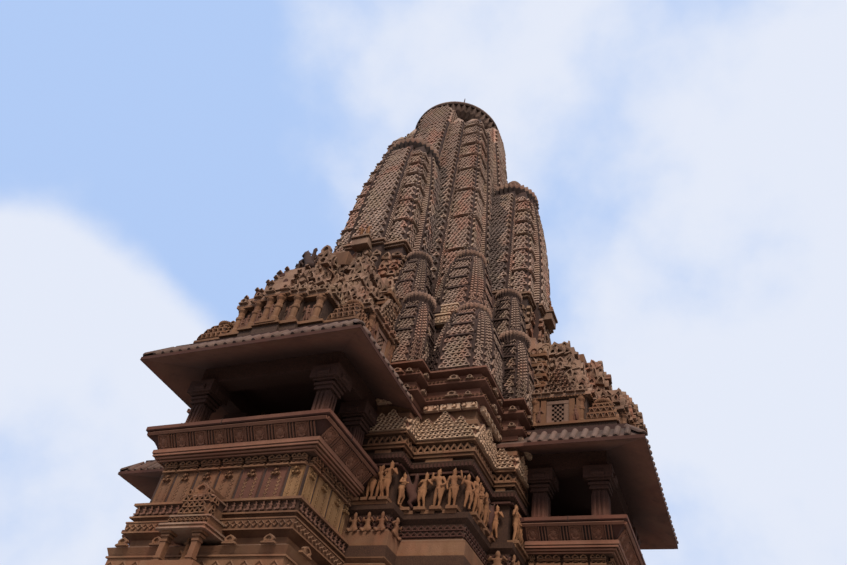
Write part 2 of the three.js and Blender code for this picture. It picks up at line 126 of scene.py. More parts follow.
# each stone's pale tone, deep tone and the tone of its soot and painted shade, and its own ways
stones = {
    "warmStone": ((146, 108, 80), (106, 70, 49), (50, 35, 29), {"top": .35, "course": .42}),
    "redStone": ((142, 98, 80), (104, 68, 53), (50, 36, 31),
        {"sootAndShade": .45, "top": .4, "course": .5, "bump": .4}),
    "towerStone": ((210, 180, 158), (162, 128, 110), (84, 70, 63),
        {"sootAndShade": .66, "course": .3, "bump": .6, "rust": .5, "moss": .45}),
    "angleSootAndShadeStone": ((164, 142, 129), (122, 100, 89), (60, 50, 46),
        {"sootAndShade": .75, "top": .25, "course": .3, "bump": .6, "rust": .3, "moss": .35}),
    "spireletStone": ((186, 155, 134), (140, 111, 94), (72, 58, 51),
        {"sootAndShade": .7, "top": .25, "course": .3, "bump": .6, "rust": .45, "moss": .4}),
    "meshStone": ((214, 178, 148), (170, 132, 104), (84, 62, 50), {}),
    "carvedStone": ((172, 138, 114), (124, 92, 73), (60, 46, 40),
        {"sootAndShade": .6, "course": .22, "bump": .6, "rust": .6, "moss": .4}),
    # a dark stone, laid also as painted shade on the spires' cores, fillets, necks and gaps
    "darkAndShadeStone": ((92, 70, 60), (62, 46, 40), (38, 29, 25), {"top": .2, "course": .3}),
    "buffStone": ((152, 116, 80), (118, 84, 56), (70, 47, 35), {"sootAndShade": .35}),
    "umberStone": ((114, 76, 60), (86, 54, 43), (50, 33, 28), {"sootAndShade": .35}),
    "figureStone": ((160, 114, 80), (120, 78, 52), (66, 41, 29), {"sootAndShade": .6, "top": .25}),
    "eaveStone": ((124, 84, 68), (92, 62, 51), (56, 41, 37),
        {"sootAndShade": .7, "top": .5, "bump": .3, "under": .1, "dusk": (7.08, 7.42)}),
    "railStone": ((148, 102, 80), (112, 74, 57), (58, 40, 34), {"sootAndShade": .4, "bump": .4}),
    "shadowStone": ((92, 60, 48), (70, 44, 36), (40, 27, 24),
        {"sootAndShade": .4, "top": .4, "course": .5, "bump": .4}),
    "porchStone": ((150, 104, 84), (112, 72, 56), (44, 32, 29),
        {"sootAndShade": .4, "top": .4, "bump": .4, "dusk": (5.75, 6.35)}),
    "wallStone": ((146, 108, 82), (106, 72, 52), (38, 26, 22),
        {"top": .35, "course": .42, "shade": ((4.3, 6.5),)}),
    "baseStone": ((146, 108, 80), (106, 70, 49), (44, 30, 25),
        {"top": .35, "course": .42, "shade": ((3.7, 3.96), (4.75, 4.98))}),
    "roofStone": ((172, 136, 112), (134, 100, 80), (34, 24, 22),
        {"top": .35, "course": .3, "shade": ((7.6, 8.02), (8.09, 8.9))}),
    "discStone": ((156, 122, 102), (110, 82, 67), (44, 33, 29),
        {"sootAndShade": .6, "top": .25, "under": .85}),
    "crownStone": ((146, 118, 101), (98, 76, 65), (36, 27, 25),
        {"sootAndShade": .65, "top": .2, "bump": .4, "under": .9, "moss": .1, "shade": ((23, 24.5),)}),
    "ribStone": ((128, 102, 89), (84, 64, 55), (42, 32, 29), {"sootAndShade": .65, "top": .12, "under": .8}),
    # a darker copy of the stone for what stands in niches and recesses: painted shade
    "nicheShadeStone": ((120, 84, 66), (86, 57, 45), (48, 34, 29), {}),
    # a near-black stone laid as painted shade in gaps, openings and undersides
    "paintedShadeStone": ((68, 52, 45), (52, 40, 35), (32, 24, 22), {"sootAndShade": .3, "top": 0, "bump": .2}),
}
blockWidth = .83
lichenTone = colour(96, 88, 78)
castOf = {"rust": (1.3, (1.04, .82, .76)), "moss": (2.1, (.9, .94, .86))}  # the patches' scale and cast


def quarry(name, pale, deep, sootAndShadeRgb, ways):
    finish = Finish(name)
    look = {**usual, **ways}
    middle = [(a + b) / 2 for a, b in zip(pale, deep)]
    paleTone, deepTone, sootAndShadeTone = colour(*pale), colour(*deep), colour(*sootAndShadeRgb)
    place = finish.node("TexCoord", out=3)
    facing = finish.node("SeparateXYZ", None, {0: finish.node("NewGeometry", out=1)}, out=2)
    patches = finish.noise(place, .7)
    streaks = finish.noise(place, 1.7, stretch=(1, 1, .16))
    mottle = finish.noise(place, 6, detail=6)
    grain = finish.noise(place, 42, detail=3)
    body = finish.mix((patches * .9 + mottle * .7 - .3).between(.1, .95), deepTone, paleTone)
    if look["course"]:
        steps = (blockWidth, blockWidth, look["course"])
        block = finish.node("VectorMath", {"operation": "SNAP"}, {0: place, 1: steps})
        tone = finish.node("TexWhiteNoise", None, {"Vector": block})
        body = finish.mix(tone * .42, body, colour(*(.8 * c for c in deep)))
    for key, (scale, cast) in castOf.items():
        patch = finish.noise(place, scale, detail=5, stretch=(1, 1, .6)).between(.5, .64)
        body = finish.mix(patch * look[key], body, colour(*(a * b for a, b in zip(middle, cast))))

    def level(low, high):
        return finish.node("SeparateXYZ", None, {0: place}, out=2).between(low, high)

    # soot in streaks, with the painted shade of the deep levels and of the dusk laid over it below
    sootAndShade = (streaks * .75 + mottle * .45).between(.5, .86) * look["sootAndShade"]
    for low, high in look["shade"]:  # levels where the wall lies deep: painted shade in the soot tone
        sootAndShade = sootAndShade.atLeast(level(low, low + .03) * (1 - level(high - .03, high)) * .88)
    if "dusk" in look:  # the light fades upwards under a roof
        sootAndShade = sootAndShade.atLeast(level(*look["dusk"]) * .92)
    body = finish.mix(sootAndShade, body, sootAndShadeTone)
    # painted shade: darker as a face turns downwards
    body = finish.mix((facing * -1).between(.15, .8) * look["under"], body, sootAndShadeTone)
    lichen = facing.between(.25, .9) * (mottle + .35).between(.4, 1) * look["top"]
    body = finish.mix(lichen, body, lichenTone)
    body = finish.mix(grain.between(.3, .75) * .3, body, deepTone)
    pits = finish.node("TexVoronoi", None, {"Vector": place, "Scale": 17})
    height = grain * .35 + mottle * .9 + pits.between(0, .35) * .35
    bump = finish.node("Bump", None, {"Strength": look["bump"], "Distance": .02, "Height": height})
    plug(finish.slots["Base Color"], body)
    plug(finish.slots["Roughness"], .86 + .1 * mottle)
    plug(finish.slots["Normal"], bump)
    plug(finish.slots["Specular IOR Level"], .25)
    return finish.material


stone = {name: quarry(name, *row) for name, row in stones.items()}
redKinds = ("redStone", "railStone", "shadowStone", "eaveStone", "porchStone")
weatheredKinds = ("towerStone", "angleSootAndShadeStone", "ribStone", "spireletStone", "carvedStone", "darkAndShadeStone",
                  "crownStone", "discStone")
slotOf = {**dict.fromkeys(redKinds, "red_sandstone"),
          **dict.fromkeys(weatheredKinds, "weathered_sandstone")}
print("stones:", len(stone))


# small shapes, each kept as its corners and faces, and how they are set in place
def shape(bm):
    bm.verts.index_update()
    corners = np.array([v.co for v in bm.verts])
    faces = [[v.index for v in f.verts] for f in bm.faces]
    bm.free()
    return corners, faces


def relief(points, steps, hollow=False, backed=False):
    # an outline in x and z, seen from -Y, raised in steps of (inset, rise)
    bm = bmesh.new()
    face = bm.faces.new([bm.verts.new((x, 0, z)) for x, z in points])
    bm.normal_update()
    for inset, rise in steps:
        bmesh.ops.inset_region(bm, faces=[face], thickness=inset, depth=rise, use_even_offset=True,
                               use_boundary=True)
    if hollow:
        bm.faces.remove(face)
    if backed:
        bm.faces.new(list(reversed([v for v in bm.verts if abs(v.co.y) < 1e-6])))
    return shape(bm)


def lathe(profile, steps, depth=0.0):
    # a profile of (radius, height) turned about Z; with a depth, every second meridian is drawn in by it
    bm = bmesh.new()
    line = [bm.verts.new((r, 0, z)) for r, z in profile]
    edges = [bm.edges.new(pair) for pair in zip(line, line[1:])]
    bmesh.ops.spin(bm, geom=line + edges, axis=(0, 0, 1), cent=(0, 0, 0), steps=steps, angle=2 * math.pi,
                   use_merge=True)
    bmesh.ops.remove_doubles(bm, verts=bm.verts, dist=1e-4)
    for v in bm.verts:
        turn = round(math.atan2(v.co.y, v.co.x) / (2 * math.pi / steps))
        far = math.hypot(v.co.x, v.co.y)
        if depth and turn % 2 and far > 4 * depth:
            v.co.x *= (far - depth) / far
            v.co.y *= (far - depth) / far
    bmesh.ops.recalc_face_normals(bm, faces=bm.faces)
    return shape(bm)


def block(bevel):
    # a block of 1 m that stands on z = 0 with its back on y = 0
    bm = bmesh.new()
    bmesh.ops.create_cube(bm, size=1)
    bmesh.ops.translate(bm, vec=(0, -.5, .5), verts=bm.verts)
    bmesh.ops.bevel(bm, geom=bm.edges, offset=bevel, segments=1, profile=0.5, affect="EDGES", material=-1)
    return shape(bm)


def spot(at, size=1.0, across=(1, 0, 0), up=(0, 0, 1)):
    # where a shape is set: its place, its size along x, y and z, and the ways its x and z point
    x = Vector(across).normalized()
    y = Vector(up).cross(x).normalized()
    z = x.cross(y)
    sizes = (size,) * 3 if isinstance(size, (int, float)) else size
    columns = [axis * length for axis, length in zip((x, y, z), sizes)] + [Vector(at)]
    return np.array(columns).T


quarterTurns = [np.array(((c, -s, 0), (s, c, 0), (0, 0, 1))) for c, s in ((1, 0), (0, 1), (-1, 0), (0, -1))]
oneSide = (0,)
everySide = (0, 1, 2, 3)
balconySides = (0, 1, 3)
otherSides = (1, 2, 3)


def turned(spots, sides=everySide):
    return [quarterTurns[side] @ place for side in sides for place in spots]


def placed(name, data):
    thing = bpy.data.objects.new(name, data)
    bpy.context.scene.collection.objects.link(thing)
    return thing


def carved(name, finish, *sets, sides=everySide, soft=False):
    # one piece of many shapes: each set is a shape and its places on one side, turned to all the sides
    corners, faces, count = [], [], 0
    for (points, polygons), spots in sets:
        places = np.array(turned(spots, sides)).reshape(-1, 3, 4)
        sized = np.einsum("nij,vj->nvi", places[:, :, :3], points)
        corners.append((sized + places[:, None, :, 3]).reshape(-1, 3))
        for i in range(len(places)):
            faces += [[v + count for v in polygon] for polygon in polygons]
            count += len(points)
    mesh = bpy.data.meshes.new(name)
    mesh.from_pydata(np.concatenate(corners), [], faces)
    mesh.polygons.foreach_set("use_smooth", [soft] * len(mesh.polygons))
    mesh.materials.append(stone[finish])
    piece = placed(name, mesh)
    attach(piece, "root")
    print(name, "faces:", len(mesh.polygons))
    return piece


arch = relief([(-.5, 0), (.5, 0), (.49, .5), (0, 1), (-.49, .5)], [(.05, 1), (.2, -.25)], hollow=True)
bar = relief([(-.5, 0), (.5, 0), (.5, 1), (-.5, 1)], [(.13, 1)])


# spires: outlines at the foot and at the head, drawn together along a curve
def fourfold(quadrant):
    points = []
    for turn in range(4):
        points += [[(x, y), (-y, x), (-x, -y), (y, -x)][turn] for x, y in quadrant]
    return np.array(points)


def banded(front, frontHalf, side, sideEnd, corner):
    return fourfold([
        (front, -frontHalf), (front, frontHalf), (side, frontHalf), (side, sideEnd), (corner, sideEnd),
        (corner, corner), (sideEnd, corner), (sideEnd, side), (frontHalf, side)])


def outlineAt(spire, z):
    k = (z - spire["base"]) / (spire["top"] - spire["base"]) * spire["steps"]
    whole = min(max(int(k), 0), spire["steps"] - 1)
    low, high = ((step / spire["steps"]) ** spire["bulge"] for step in (whole, whole + 1))
    draw = low + (high - low) * (k - whole)
    return spire["foot"] + (spire["head"] - spire["foot"]) * draw + np.array(spire["at"])


def onSpire(spire, edge, share, z):
    # a point of one face of a spire, the face's direction across and upwards, and its width there
    here, above = outlineAt(spire, z), outlineAt(spire, z + .1)
    start, end = here[edge], here[(edge + 1) % len(here)]
    higher = [above[edge], above[(edge + 1) % len(here)]]
    point = start + (end - start) * share
    top = higher[0] + (higher[1] - higher[0]) * share
    across = end - start
    return (*point, z), (*across, 0), (*(top - point), .1), float(np.hypot(*across))


weave = {"squat": .92, "margin": .06, "wide": 1.03, "tall": 1.12}


def archesOn(spire, edge, low, high, columns, deep, gaps=()):
    # the woven mesh: rows of small arches up a face, with the storeys' cornices left free
    spots, z, row = [], low, 0
    free = 1 - 2 * weave["margin"]
    while z < high:
        width = onSpire(spire, edge, .5, z)[3] * free / columns
        tall = width * weave["squat"]
        storey = next((gap for gap in gaps if gap - tall * .7 < z < gap + .03), None)
        if storey is not None:
            z = storey + .03 + width * .4
        for i in range(columns - row % 2):
            share = weave["margin"] + free * (i + .5 + .5 * (row % 2)) / columns
            at, across, up, _ = onSpire(spire, edge, share, z)
            size = (width * weave["wide"], deep * chance.uniform(.75, 1.2), tall * weave["tall"])
            spots.append(spot(at, size, across, up))
        z += tall
        row += 1
    return spots


def barsOn(spire, edge, low, high, pitch, deep, share=.5, wide=1.0):
    spots, z = [], low
    while z < high:
        at, across, up, width = onSpire(spire, edge, share, z)
        spots.append(spot(at, (width * wide, deep, min(pitch * .62, .07)), across, up))
        z += pitch
    return spots


def filletOn(spire, edge, low, high, share, deep, length=.7):
    spots, z = [], low
    while z < high - .05:
        tall = min(length, high - z)
        at, across, up, _ = onSpire(spire, edge, share, z)
        spots.append(spot(at, (.04, deep, tall * 1.02), across, up))
        z += tall
    return spots


def everyQuarter(*edges):
    return [9 * turn + edge for turn in range(4) for edge in edges]


# faces: columns of mesh and where it starts, by the face's number; corners: columns, cut by the storeys
mainSpire = {
    "foot": banded(3.42, 1.05, 3.18, 2.0, 2.95), "head": banded(2.25, .71, 2.09, 1.31, 2.0), "at": (0, 0),
    "base": 8.4, "top": 23.2, "bulge": 1.55, "steps": 9, "deep": .07, "low": 11.6, "high": 23.1,
    "faces": {**dict.fromkeys(everyQuarter(0), (8, 18.9)), **dict.fromkeys(everyQuarter(2, 7), (4, 8.9))},
    "corners": dict.fromkeys(everyQuarter(4, 5), 5), "returns": everyQuarter(1, 3, 6, 8),
    "storeys": (12.9, 14.4, 16.2, 17.8, 19.2, 20.2, 21.1, 21.9, 22.6)}
halfFoot = fourfold([(1.45, -.62), (1.45, .62), (1.22, .62), (1.22, 1.22), (.62, 1.22)])
halfSpire = {
    "foot": halfFoot, "head": halfFoot * .92 / 1.45, "at": (0, -3),
    "base": 11.8, "top": 19.3, "bulge": 3, "steps": 7, "deep": .065, "low": 13.62, "high": 19,
    "faces": dict.fromkeys((15, 0, 10), (6, 13.62)), "corners": dict.fromkeys((13, 17, 12, 18), 3),
    "returns": (14, 16, 11, 19), "storeys": (14.6, 15.6, 16.45, 17.2, 17.9, 18.5)}

# a storey's cornice: a slab that rises in the middle of its face, with short ribs under it
storeyRibs = 9
storeySlab = relief([(-.5, 0), (-.3, .13), (0, .22), (.3, .13), (.5, 0), (.5, .12), (.28, .25), (0, .34),
                     (-.28, .25), (-.5, .12)], [(.001, .8), (.03, .2)])


def storeysOn(spire, edge):
    slabs, teeth = [], []
    for z in spire["storeys"]:
        at, across, up, width = onSpire(spire, edge, .5, z)
        slabs.append(spot(at, (width * 1.05, spire["deep"] * 1.7, width * .34), across, up))
        for i in range(storeyRibs):
            share = (i + .5) / storeyRibs
            (x, y, level), across, up, width = onSpire(spire, edge, share, z - width * .02)
            rise = width * .2 * (1 - abs(2 * share - 1))
            size = (width / storeyRibs * .7, spire["deep"] * 1.25, width * .14)
            teeth.append(spot((x, y, level + rise - width * .06), size, across, up))
    return slabs, teeth


def dressSpire(spire):
    mesh, trim, slabs, fillets = [], [], [], []
    for edge, (columns, start) in spire["faces"].items():
        mesh += archesOn(spire, edge, start, spire["high"], columns, spire["deep"])
        for share in (0, 1):
            fillets += filletOn(spire, edge, start, spire["high"], share, spire["deep"] * .8)
    for edge, columns in spire["corners"].items():
        mesh += archesOn(spire, edge, spire["low"], spire["high"] - .15, columns, spire["deep"] * .85,
                         spire["storeys"])
        cornices, teeth = storeysOn(spire, edge)
        slabs += cornices
        trim += teeth
    for edge in spire["returns"]:
        trim += barsOn(spire, edge, spire["low"], spire["high"], .11, spire["deep"] * .6)
    return mesh, trim, slabs, fillets


def inAngle(place):
    # the angle between a half spire and the main spire, where the stone is darker with soot and painted
    # shade
    near, far = sorted(abs(place[:2, 3]))
    z = place[2, 3]
    rise = max(0, (z - halfSpire["base"]) / (halfSpire["top"] - halfSpire["base"]))
    side = 1.45 - .53 * rise ** halfSpire["bulge"]
    ragged = .16 * math.sin(47 * z + 31 * near)
    reach = 3.02 + .09 * (halfSpire["high"] - z)
    return z < halfSpire["top"] + .1 and near < side + .24 + ragged / 2 and far < reach + ragged


def parted(places, test):
    return [place for place in places if test(place)], [place for place in places if not test(place)]


mainMesh, mainTrim, mainSlabs, mainFillets = dressSpire(mainSpire)
halfMesh, halfTrim, halfSlabs, halfFillets = dressSpire(halfSpire)
mainSootAndShade, mainClean = parted(mainMesh, inAngle)
halfSootAndShade, halfClean = parted(halfMesh, inAngle)
carved("main_spire_mesh", "towerStone", (arch, mainClean), sides=oneSide)
carved("main_spire_trim", "towerStone", (bar, mainTrim), (storeySlab, mainSlabs), sides=oneSide)
carved("half_spire_mesh", "towerStone", (arch, halfClean))
# mesh in the angles in a darker stone: soot and painted shade
carved("angle_mesh", "angleSootAndShadeStone", (arch, mainSootAndShade + turned(halfSootAndShade)), sides=oneSide)
carved("half_spire_trim", "towerStone", (bar, halfTrim), (storeySlab, halfSlabs))
# dark fillets along the bands' edges: painted shadow lines
carved("spire_fillets", "darkAndShadeStone", (bar, mainFillets + turned(halfFillets)), sides=oneSide)

# tongues: the main spire's middle bands run on in front of the crown and end in a round head
tongue = {"out": 2.2, "head": 2.04, "half": .69, "low": 23.1, "spring": 24.25, "top": 24.75, "pitch": .15,
          "tips": ((1.0, -1.57, (.56, .5, .52)), (1.64, -1.55, (.6, .44, .26)))}
roundHead = [(-1, 0), (1, 0), (.97, .7), (.8, .86), (.45, .97), (0, 1), (-.45, .97), (-.8, .86), (-.97, .7)]
tongueShape = relief([(x * tongue["half"], z * (tongue["top"] - tongue["low"])) for x, z in roundHead],
                     [(.001, .5), (.03, .03)])
pointed = relief([(-.5, 0), (.5, 0), (.5, .35), (0, 1), (-.5, .35)], [(.001, .75), (.05, .25)])
lean = (tongue["out"] - tongue["head"]) / (tongue["top"] - tongue["low"])
tongues = [spot((0, -tongue["out"] + .47, tongue["low"]), 1, (1, 0, 0), (0, lean, 1))]
holes = []
row, z = 0, tongue["low"] + .1
while z < tongue["top"] - .14:
    reach, count = (tongue["half"], 8) if z < tongue["spring"] else (tongue["half"] * .72, 6)
    front = -tongue["out"] + lean * (z - tongue["low"])
    size = (2 * reach / count * weave["wide"], .07, .17)
    for i in range(count - row % 2):
        x = reach * (2 * (i + .5 + .5 * (row % 2)) / count - 1)
        holes.append(spot((x, front - .06, z), size, (1, 0, 0), (0, lean, 1)))
    for hand in (-1, 1):
        for k in range(3):
            at = (hand * reach * .98, front + .08 + .16 * k, z)
            holes.append(spot(at, (.16, .06, .17), (0, hand, 0)))
    z += tongue["pitch"]
    row += 1
tipPlates = [spot((hand * x, y, 23.14), size) for hand in (-1, 1) for x, y, size in tongue["tips"]]
carved("spire_tongues", "towerStone", (tongueShape, tongues), (arch, holes), (pointed, tipPlates))
print("spires dressed")

# crown, discs and finial
centre = [spot((0, 0, 0))]
crown = {"ribs": 48, "depth": .13, "profile": [
    (0, 23.2), (1.42, 23.2), (1.36, 23.9), (1.3, 24.3), (1.44, 24.44), (1.7, 24.66), (1.9, 24.9),
    (1.98, 25.12), (1.99, 25.26), (1.92, 25.38), (1.66, 25.5), (1.1, 25.58), (.9, 25.68), (.8, 25.96),
    (.66, 26.05), (0, 26.05)],
    "rim": [(1.72, 25.2), (1.97, 25.19), (2.01, 25.26), (1.99, 25.36), (1.86, 25.46), (1.6, 25.5)]}
crownBody = lathe(crown["profile"], 2 * crown["ribs"], crown["depth"])
crownPiece = carved("crown_ribbed", "crownStone", (crownBody, centre), (lathe(crown["rim"], 64), centre),
                    sides=oneSide)
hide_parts("crown")
finial = {"steps": 32, "profile": [
    (0, 26.04), (.44, 26.04), (.44, 26.12), (.3, 26.2), (.27, 26.3), (.5, 26.42), (.6, 26.56),
    (.615, 26.72), (.55, 26.9), (.36, 27.04), (.2, 27.12), (.2, 27.2), (.32, 27.26), (.34, 27.32),
    (.22, 27.38), (.12, 27.44), (.16, 27.54), (.17, 27.62), (.1, 27.78), (.05, 27.95), (.03, 28.4),
    (.022, 28.84), (0, 28.85)]}
finialPiece = carved("finial_turned", "darkAndShadeStone", (lathe(finial["profile"], finial["steps"]), centre),
                     sides=oneSide, soft=True)
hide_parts("finial")
disc = {"ribs": 34, "depth": .1, "place": ((0, -3, 19.42), (.97, .97, 1.1)),
        "capPlace": ((0, -3, 19.62), (.9, .9, .72)), "profile": [
    (.72, -.36), (.76, -.2), (.95, -.1), (1.04, .04), (1.06, .22), (1.01, .38), (.9, .46), (.44, .5)],
    "under": [(.72, -.4), (.8, -.27), (.99, -.16), (1.08, .04), (1.09, .09)],
    "cap": [(.46, .4), (.4, .8), (.46, .95), (.3, 1.05), (.24, 1.3), (.32, 1.42), (.34, 1.62), (.24, 1.82),
            (0, 1.9)]}
smallDisc = {"ribs": 26, "depth": .13, "profile": [
    (.7, -.42), (.99, -.34), (1.09, -.14), (1.11, .1), (1.05, .32), (.92, .46), (.44, .5)],
    "neck": [(.74, -1.0), (.87, -.74), (.97, -.42), (.98, -.3)],
    "cap": [(.46, .46), (.4, .6), (.5, .72), (.5, .88), (.36, 1.04), (.14, 1.1), (.1, 1.2), (0, 1.24)]}
discShape, discUnderShade = (lathe(disc[key], 2 * disc["ribs"], disc["depth"]) for key in ("profile", "under"))
smallShape, smallNeck = (lathe(smallDisc[key], 2 * smallDisc["ribs"], smallDisc["depth"])
                         for key in ("profile", "neck"))
# columns: arches across the mesh; skirt: how far the mesh runs down below the base
cornerStack = [
    {"x": 3.47, "y": -3.47, "half": .78, "base": 8.9, "top": 10.58, "radius": .45,
     "columns": 5, "skirt": .44},
    {"x": 2.86, "y": -2.86, "half": .72, "base": 11.3, "top": 13.4, "radius": .46,
     "columns": 5, "skirt": .1}]
flankStack = [
    {"x": 2.165, "y": -4.22, "half": .51, "base": 8.9, "top": 10.6, "radius": .42,
     "columns": 4, "skirt": .44},
    {"x": 1.6, "y": -3.75, "half": .49, "base": 11.2, "top": 12.85, "radius": .38,
     "columns": 4, "skirt": .1}]
spirelets = cornerStack + [{**row, "x": hand * row["x"]} for row in flankStack for hand in (1, -1)]
# between the stacks: a wall of uneven courses, dark with painted shade, with one pale carved block left in
# it
behind = {"middle": 2.7, "front": 3.58, "low": 9.66, "course": .155, "courses": 10, "wide": 1.02,
          "pale": ((2.68, 10.42, .42, .3), (2.84, 10.78, .46, .26))}
wallCourses, paleBlocks, paleMesh = [], [], []
for k in range(behind["courses"]):
    deep = .03 + chance.uniform(0, .1)
    z = behind["low"] + behind["course"] * k
    size = (behind["wide"], deep, behind["course"] * chance.uniform(.82, 1.0))
    wallCourses.append(spot((behind["middle"], -behind["front"], z), size))
    wallCourses.append(spot((behind["front"], -behind["middle"], z), size, (0, 1, 0)))
for x, z, wide, tall in behind["pale"]:
    paleBlocks.append(spot((x, -behind["front"], z), (wide, .17, tall)))
    paleBlocks.append(spot((x, -behind["front"], z + tall), (wide * 1.12, .21, .05)))
    for k in range(4):
        for level in (0, 1):
            at = (x + wide * (k - 1.5) / 4, -behind["front"] - .165, z + .03 + .11 * level)
            paleMesh.append(spot(at, (wide / 4, .04, .11)))
carved("stack_courses", "darkAndShadeStone", (block(.06), wallCourses))
carved("stack_blocks", "meshStone", (block(.05), paleBlocks), (arch, paleMesh), sides=oneSide)
halfDiscs, halfCaps = ([spot(*disc[key])] for key in ("place", "capPlace"))
smallDiscs = []
for row in spirelets:
    radius = row["radius"]
    smallDiscs.append(spot((row["x"], row["y"], row["top"] + .21), (radius, radius, radius * .7)))
carved("spire_discs", "discStone", (discShape, halfDiscs), (smallShape, smallDiscs))
# a dark ring under the half spire's disc: painted shade
carved("disc_undersides", "paintedShadeStone", (discUnderShade, halfDiscs))
# dark necks under the small discs: painted shade
carved("disc_necks", "darkAndShadeStone", (smallNeck, smallDiscs))
carved("disc_caps", "discStone", (lathe(disc["cap"], 14), halfCaps),
       (lathe(smallDisc["cap"], 14), smallDiscs), soft=True)
print("discs set")

# spirelets
stackMesh, stackTrim, stackFillets, stackCourses = [], [], [], []
for row in spirelets:
    half, base, top = row["half"], row["base"], row["top"]
    foot = fourfold([(half, -half * .56), (half, half * .56), (half * .84, half * .84)])
    spire = {"foot": foot, "head": foot * .6, "base": base, "top": top, "bulge": 2.2, "steps": 3,
             "at": (row["x"], row["y"])}
    hidden = (3, 4, 5, 6) if row["x"] > 0 else (0, 1, 2, 3)
    for edge in range(12):
        if edge in hidden:
            continue
        start = base - row["skirt"]
        if edge % 3 == 0:
            stackMesh += archesOn(spire, edge, start, top - .05, row["columns"], .045)
            stackCourses += barsOn(spire, edge, base + .1, top, .44, .075, .5, .94)[1:]
            for share in (0, 1):
                stackFillets += filletOn(spire, edge, base, top, share, .06, .6)
        else:
            stackMesh += archesOn(spire, edge, start, base + .3, 2, .04)
            stackTrim += barsOn(spire, edge, base + .35, top - .1, .1, .045, .3, .36)
            stackTrim += barsOn(spire, edge, base + .3, top - .1, .1, .045, .74, .4)


def inGap(place):
    # the gaps between neighbouring stacks, dark with soot and painted shade
    near, far = sorted(abs(place[:2, 3]))
    z = place[2, 3]
    low, high, reach = (2.45, 3.06, 4.3) if z < 11 else (1.88, 2.5, 3.72)
    return low < near < high and far < reach + .06 * math.sin(47 * z)


gapMesh, openMesh = parted(stackMesh, inGap)
carved("spirelet_mesh", "spireletStone", (arch, openMesh))
# mesh in the gaps in the dark stone: soot and painted shade
carved("gap_mesh", "darkAndShadeStone", (arch, gapMesh))
carved("spirelet_trim", "spireletStone", (bar, stackTrim))
# dark fillets and courses: painted shadow lines
carved("spirelet_fillets", "darkAndShadeStone", (bar, stackFillets + stackCourses))
print("spirelets dressed")


# shapes for the lower building
def rounded(corners, pull=1.0):
    # a round outline on z = 0 to 1; with a pull, every second corner is drawn in
    points = []
    for i in range(corners):
        radius, turn = .5 * (1, pull)[i % 2], 2 * math.pi * i / corners
        points.append((radius * math.cos(turn), .5 + radius * math.sin(turn)))
    return points


square = [(-.5, 0), (.5, 0), (.5, 1), (-.5, 1)]
gable = [(-.5, 0), (.5, 0), (.5, .2), (.32, .3), (.38, .55), (.24, .82), (0, 1), (-.24, .82), (-.38, .55),
         (-.32, .3), (-.5, .2)]
crest = relief(gable, [(.001, .8), (.05, .2), (.11, -.05), (.04, -.5)], backed=True)
panel = relief(square, [(.01, 1), (.04, -.4)])
frameRing = relief(square, [(.02, 1), (.06, 0), (.03, -.8)])
rosette = relief(rounded(16, .82), [(.03, 1), (.13, -.6), (.05, .5), (.12, .3)])
bloom = relief(rounded(8), [(.04, 1), (.14, -.8), (.06, .8)])
lozenge = relief([(0, 0), (.5, .5), (0, 1), (-.5, .5)], [(.09, 1), (.1, -.7)])
slab = block(.04)
drum = lathe([(0, 0), (.56, 0), (.56, .14), (.4, .19), (.4, .5), (.5, .54), (.5, .62), (.38, .67),
              (.42, .8), (.6, .88), (.6, 1), (0, 1)], 8)
curl = relief([(-.5, 0), (.5, 0), (.42, .45), (.2, .85), (0, 1), (-.2, .85), (-.42, .45)],
              [(.001, .85), (.13, .15), (.12, -.7)])
arm = {"half": 2.265, "out": 7.0, "rear": 4.78}
centred = [.5]


def boxFaces(half, out, rear, middle=0.0):
    # the left, front and right faces of a block that stands out towards -Y, each a start and an end
    left, right = middle - half, middle + half
    return [((left, -rear), (left, -out)), ((left, -out), (right, -out)), ((right, -out), (right, -rear))]


def armFaces(inset):
    # the outer faces of an arm, drawn in from the parapet's edge by inset
    return boxFaces(arm["half"] - inset, arm["out"] - inset, arm["rear"])


def span(face):
    return math.dist(*face)


def along(face, share, out=0.0):
    (ax, ay), (bx, by) = face
    dx, dy = bx - ax, by - ay
    length = math.hypot(dx, dy)
    return (ax + dx * share + out * dy / length, ay + dy * share - out * dx / length), (dx, dy, 0)


def part(face, low, high, out=0.0):
    return along(face, low, out)[0], along(face, high, out)[0]


def even(count):
    return [(i + .5) / count for i in range(count)]


def rowOn(face, z, shares, size, out=0.0, lean=0.0):
    # equal shapes along a face, at shares of its length from its start
    spots = []
    length = span(face)
    for share in shares:
        (x, y), across = along(face, share, out)
        dx, dy = across[0] / length, across[1] / length
        spots.append(spot((x, y, z), size, across, (dy * lean, -dx * lean, 1)))
    return spots


def pitchRows(faces, z, pitch, size, jitter=0.0):
    # rows of shapes that fill each face, about a pitch apart
    spots = []
    for face in faces:
        count = max(1, round(span(face) / pitch))
        shares = [(i + .5 + chance.uniform(-jitter, jitter)) / count for i in range(count)]
        spots += rowOn(face, z, shares, (size[0] * span(face) / count / pitch, size[1], size[2]))
    return spots


def courseOn(faces, z, deep, tall):
    # a moulding along faces: one long block on each
    return [spot((*along(face, .5)[0], z), (span(face) + 2 * deep * .98, deep, tall), along(face, 0)[1])
            for face in faces]


def meshOn(face, z, rows, columns, deep, tall, peak=False):
    spots = []
    width = span(face) / columns
    for row in range(rows):
        count = columns - (row if peak else row % 2)
        for i in range(max(0, count)):
            share = (i + .5 + (columns - count) / 2) / columns
            size = (width * 1.02, deep * chance.uniform(.8, 1.2), tall * 1.15)
            spots += rowOn(face, z + row * tall, [share], size)
    return spots


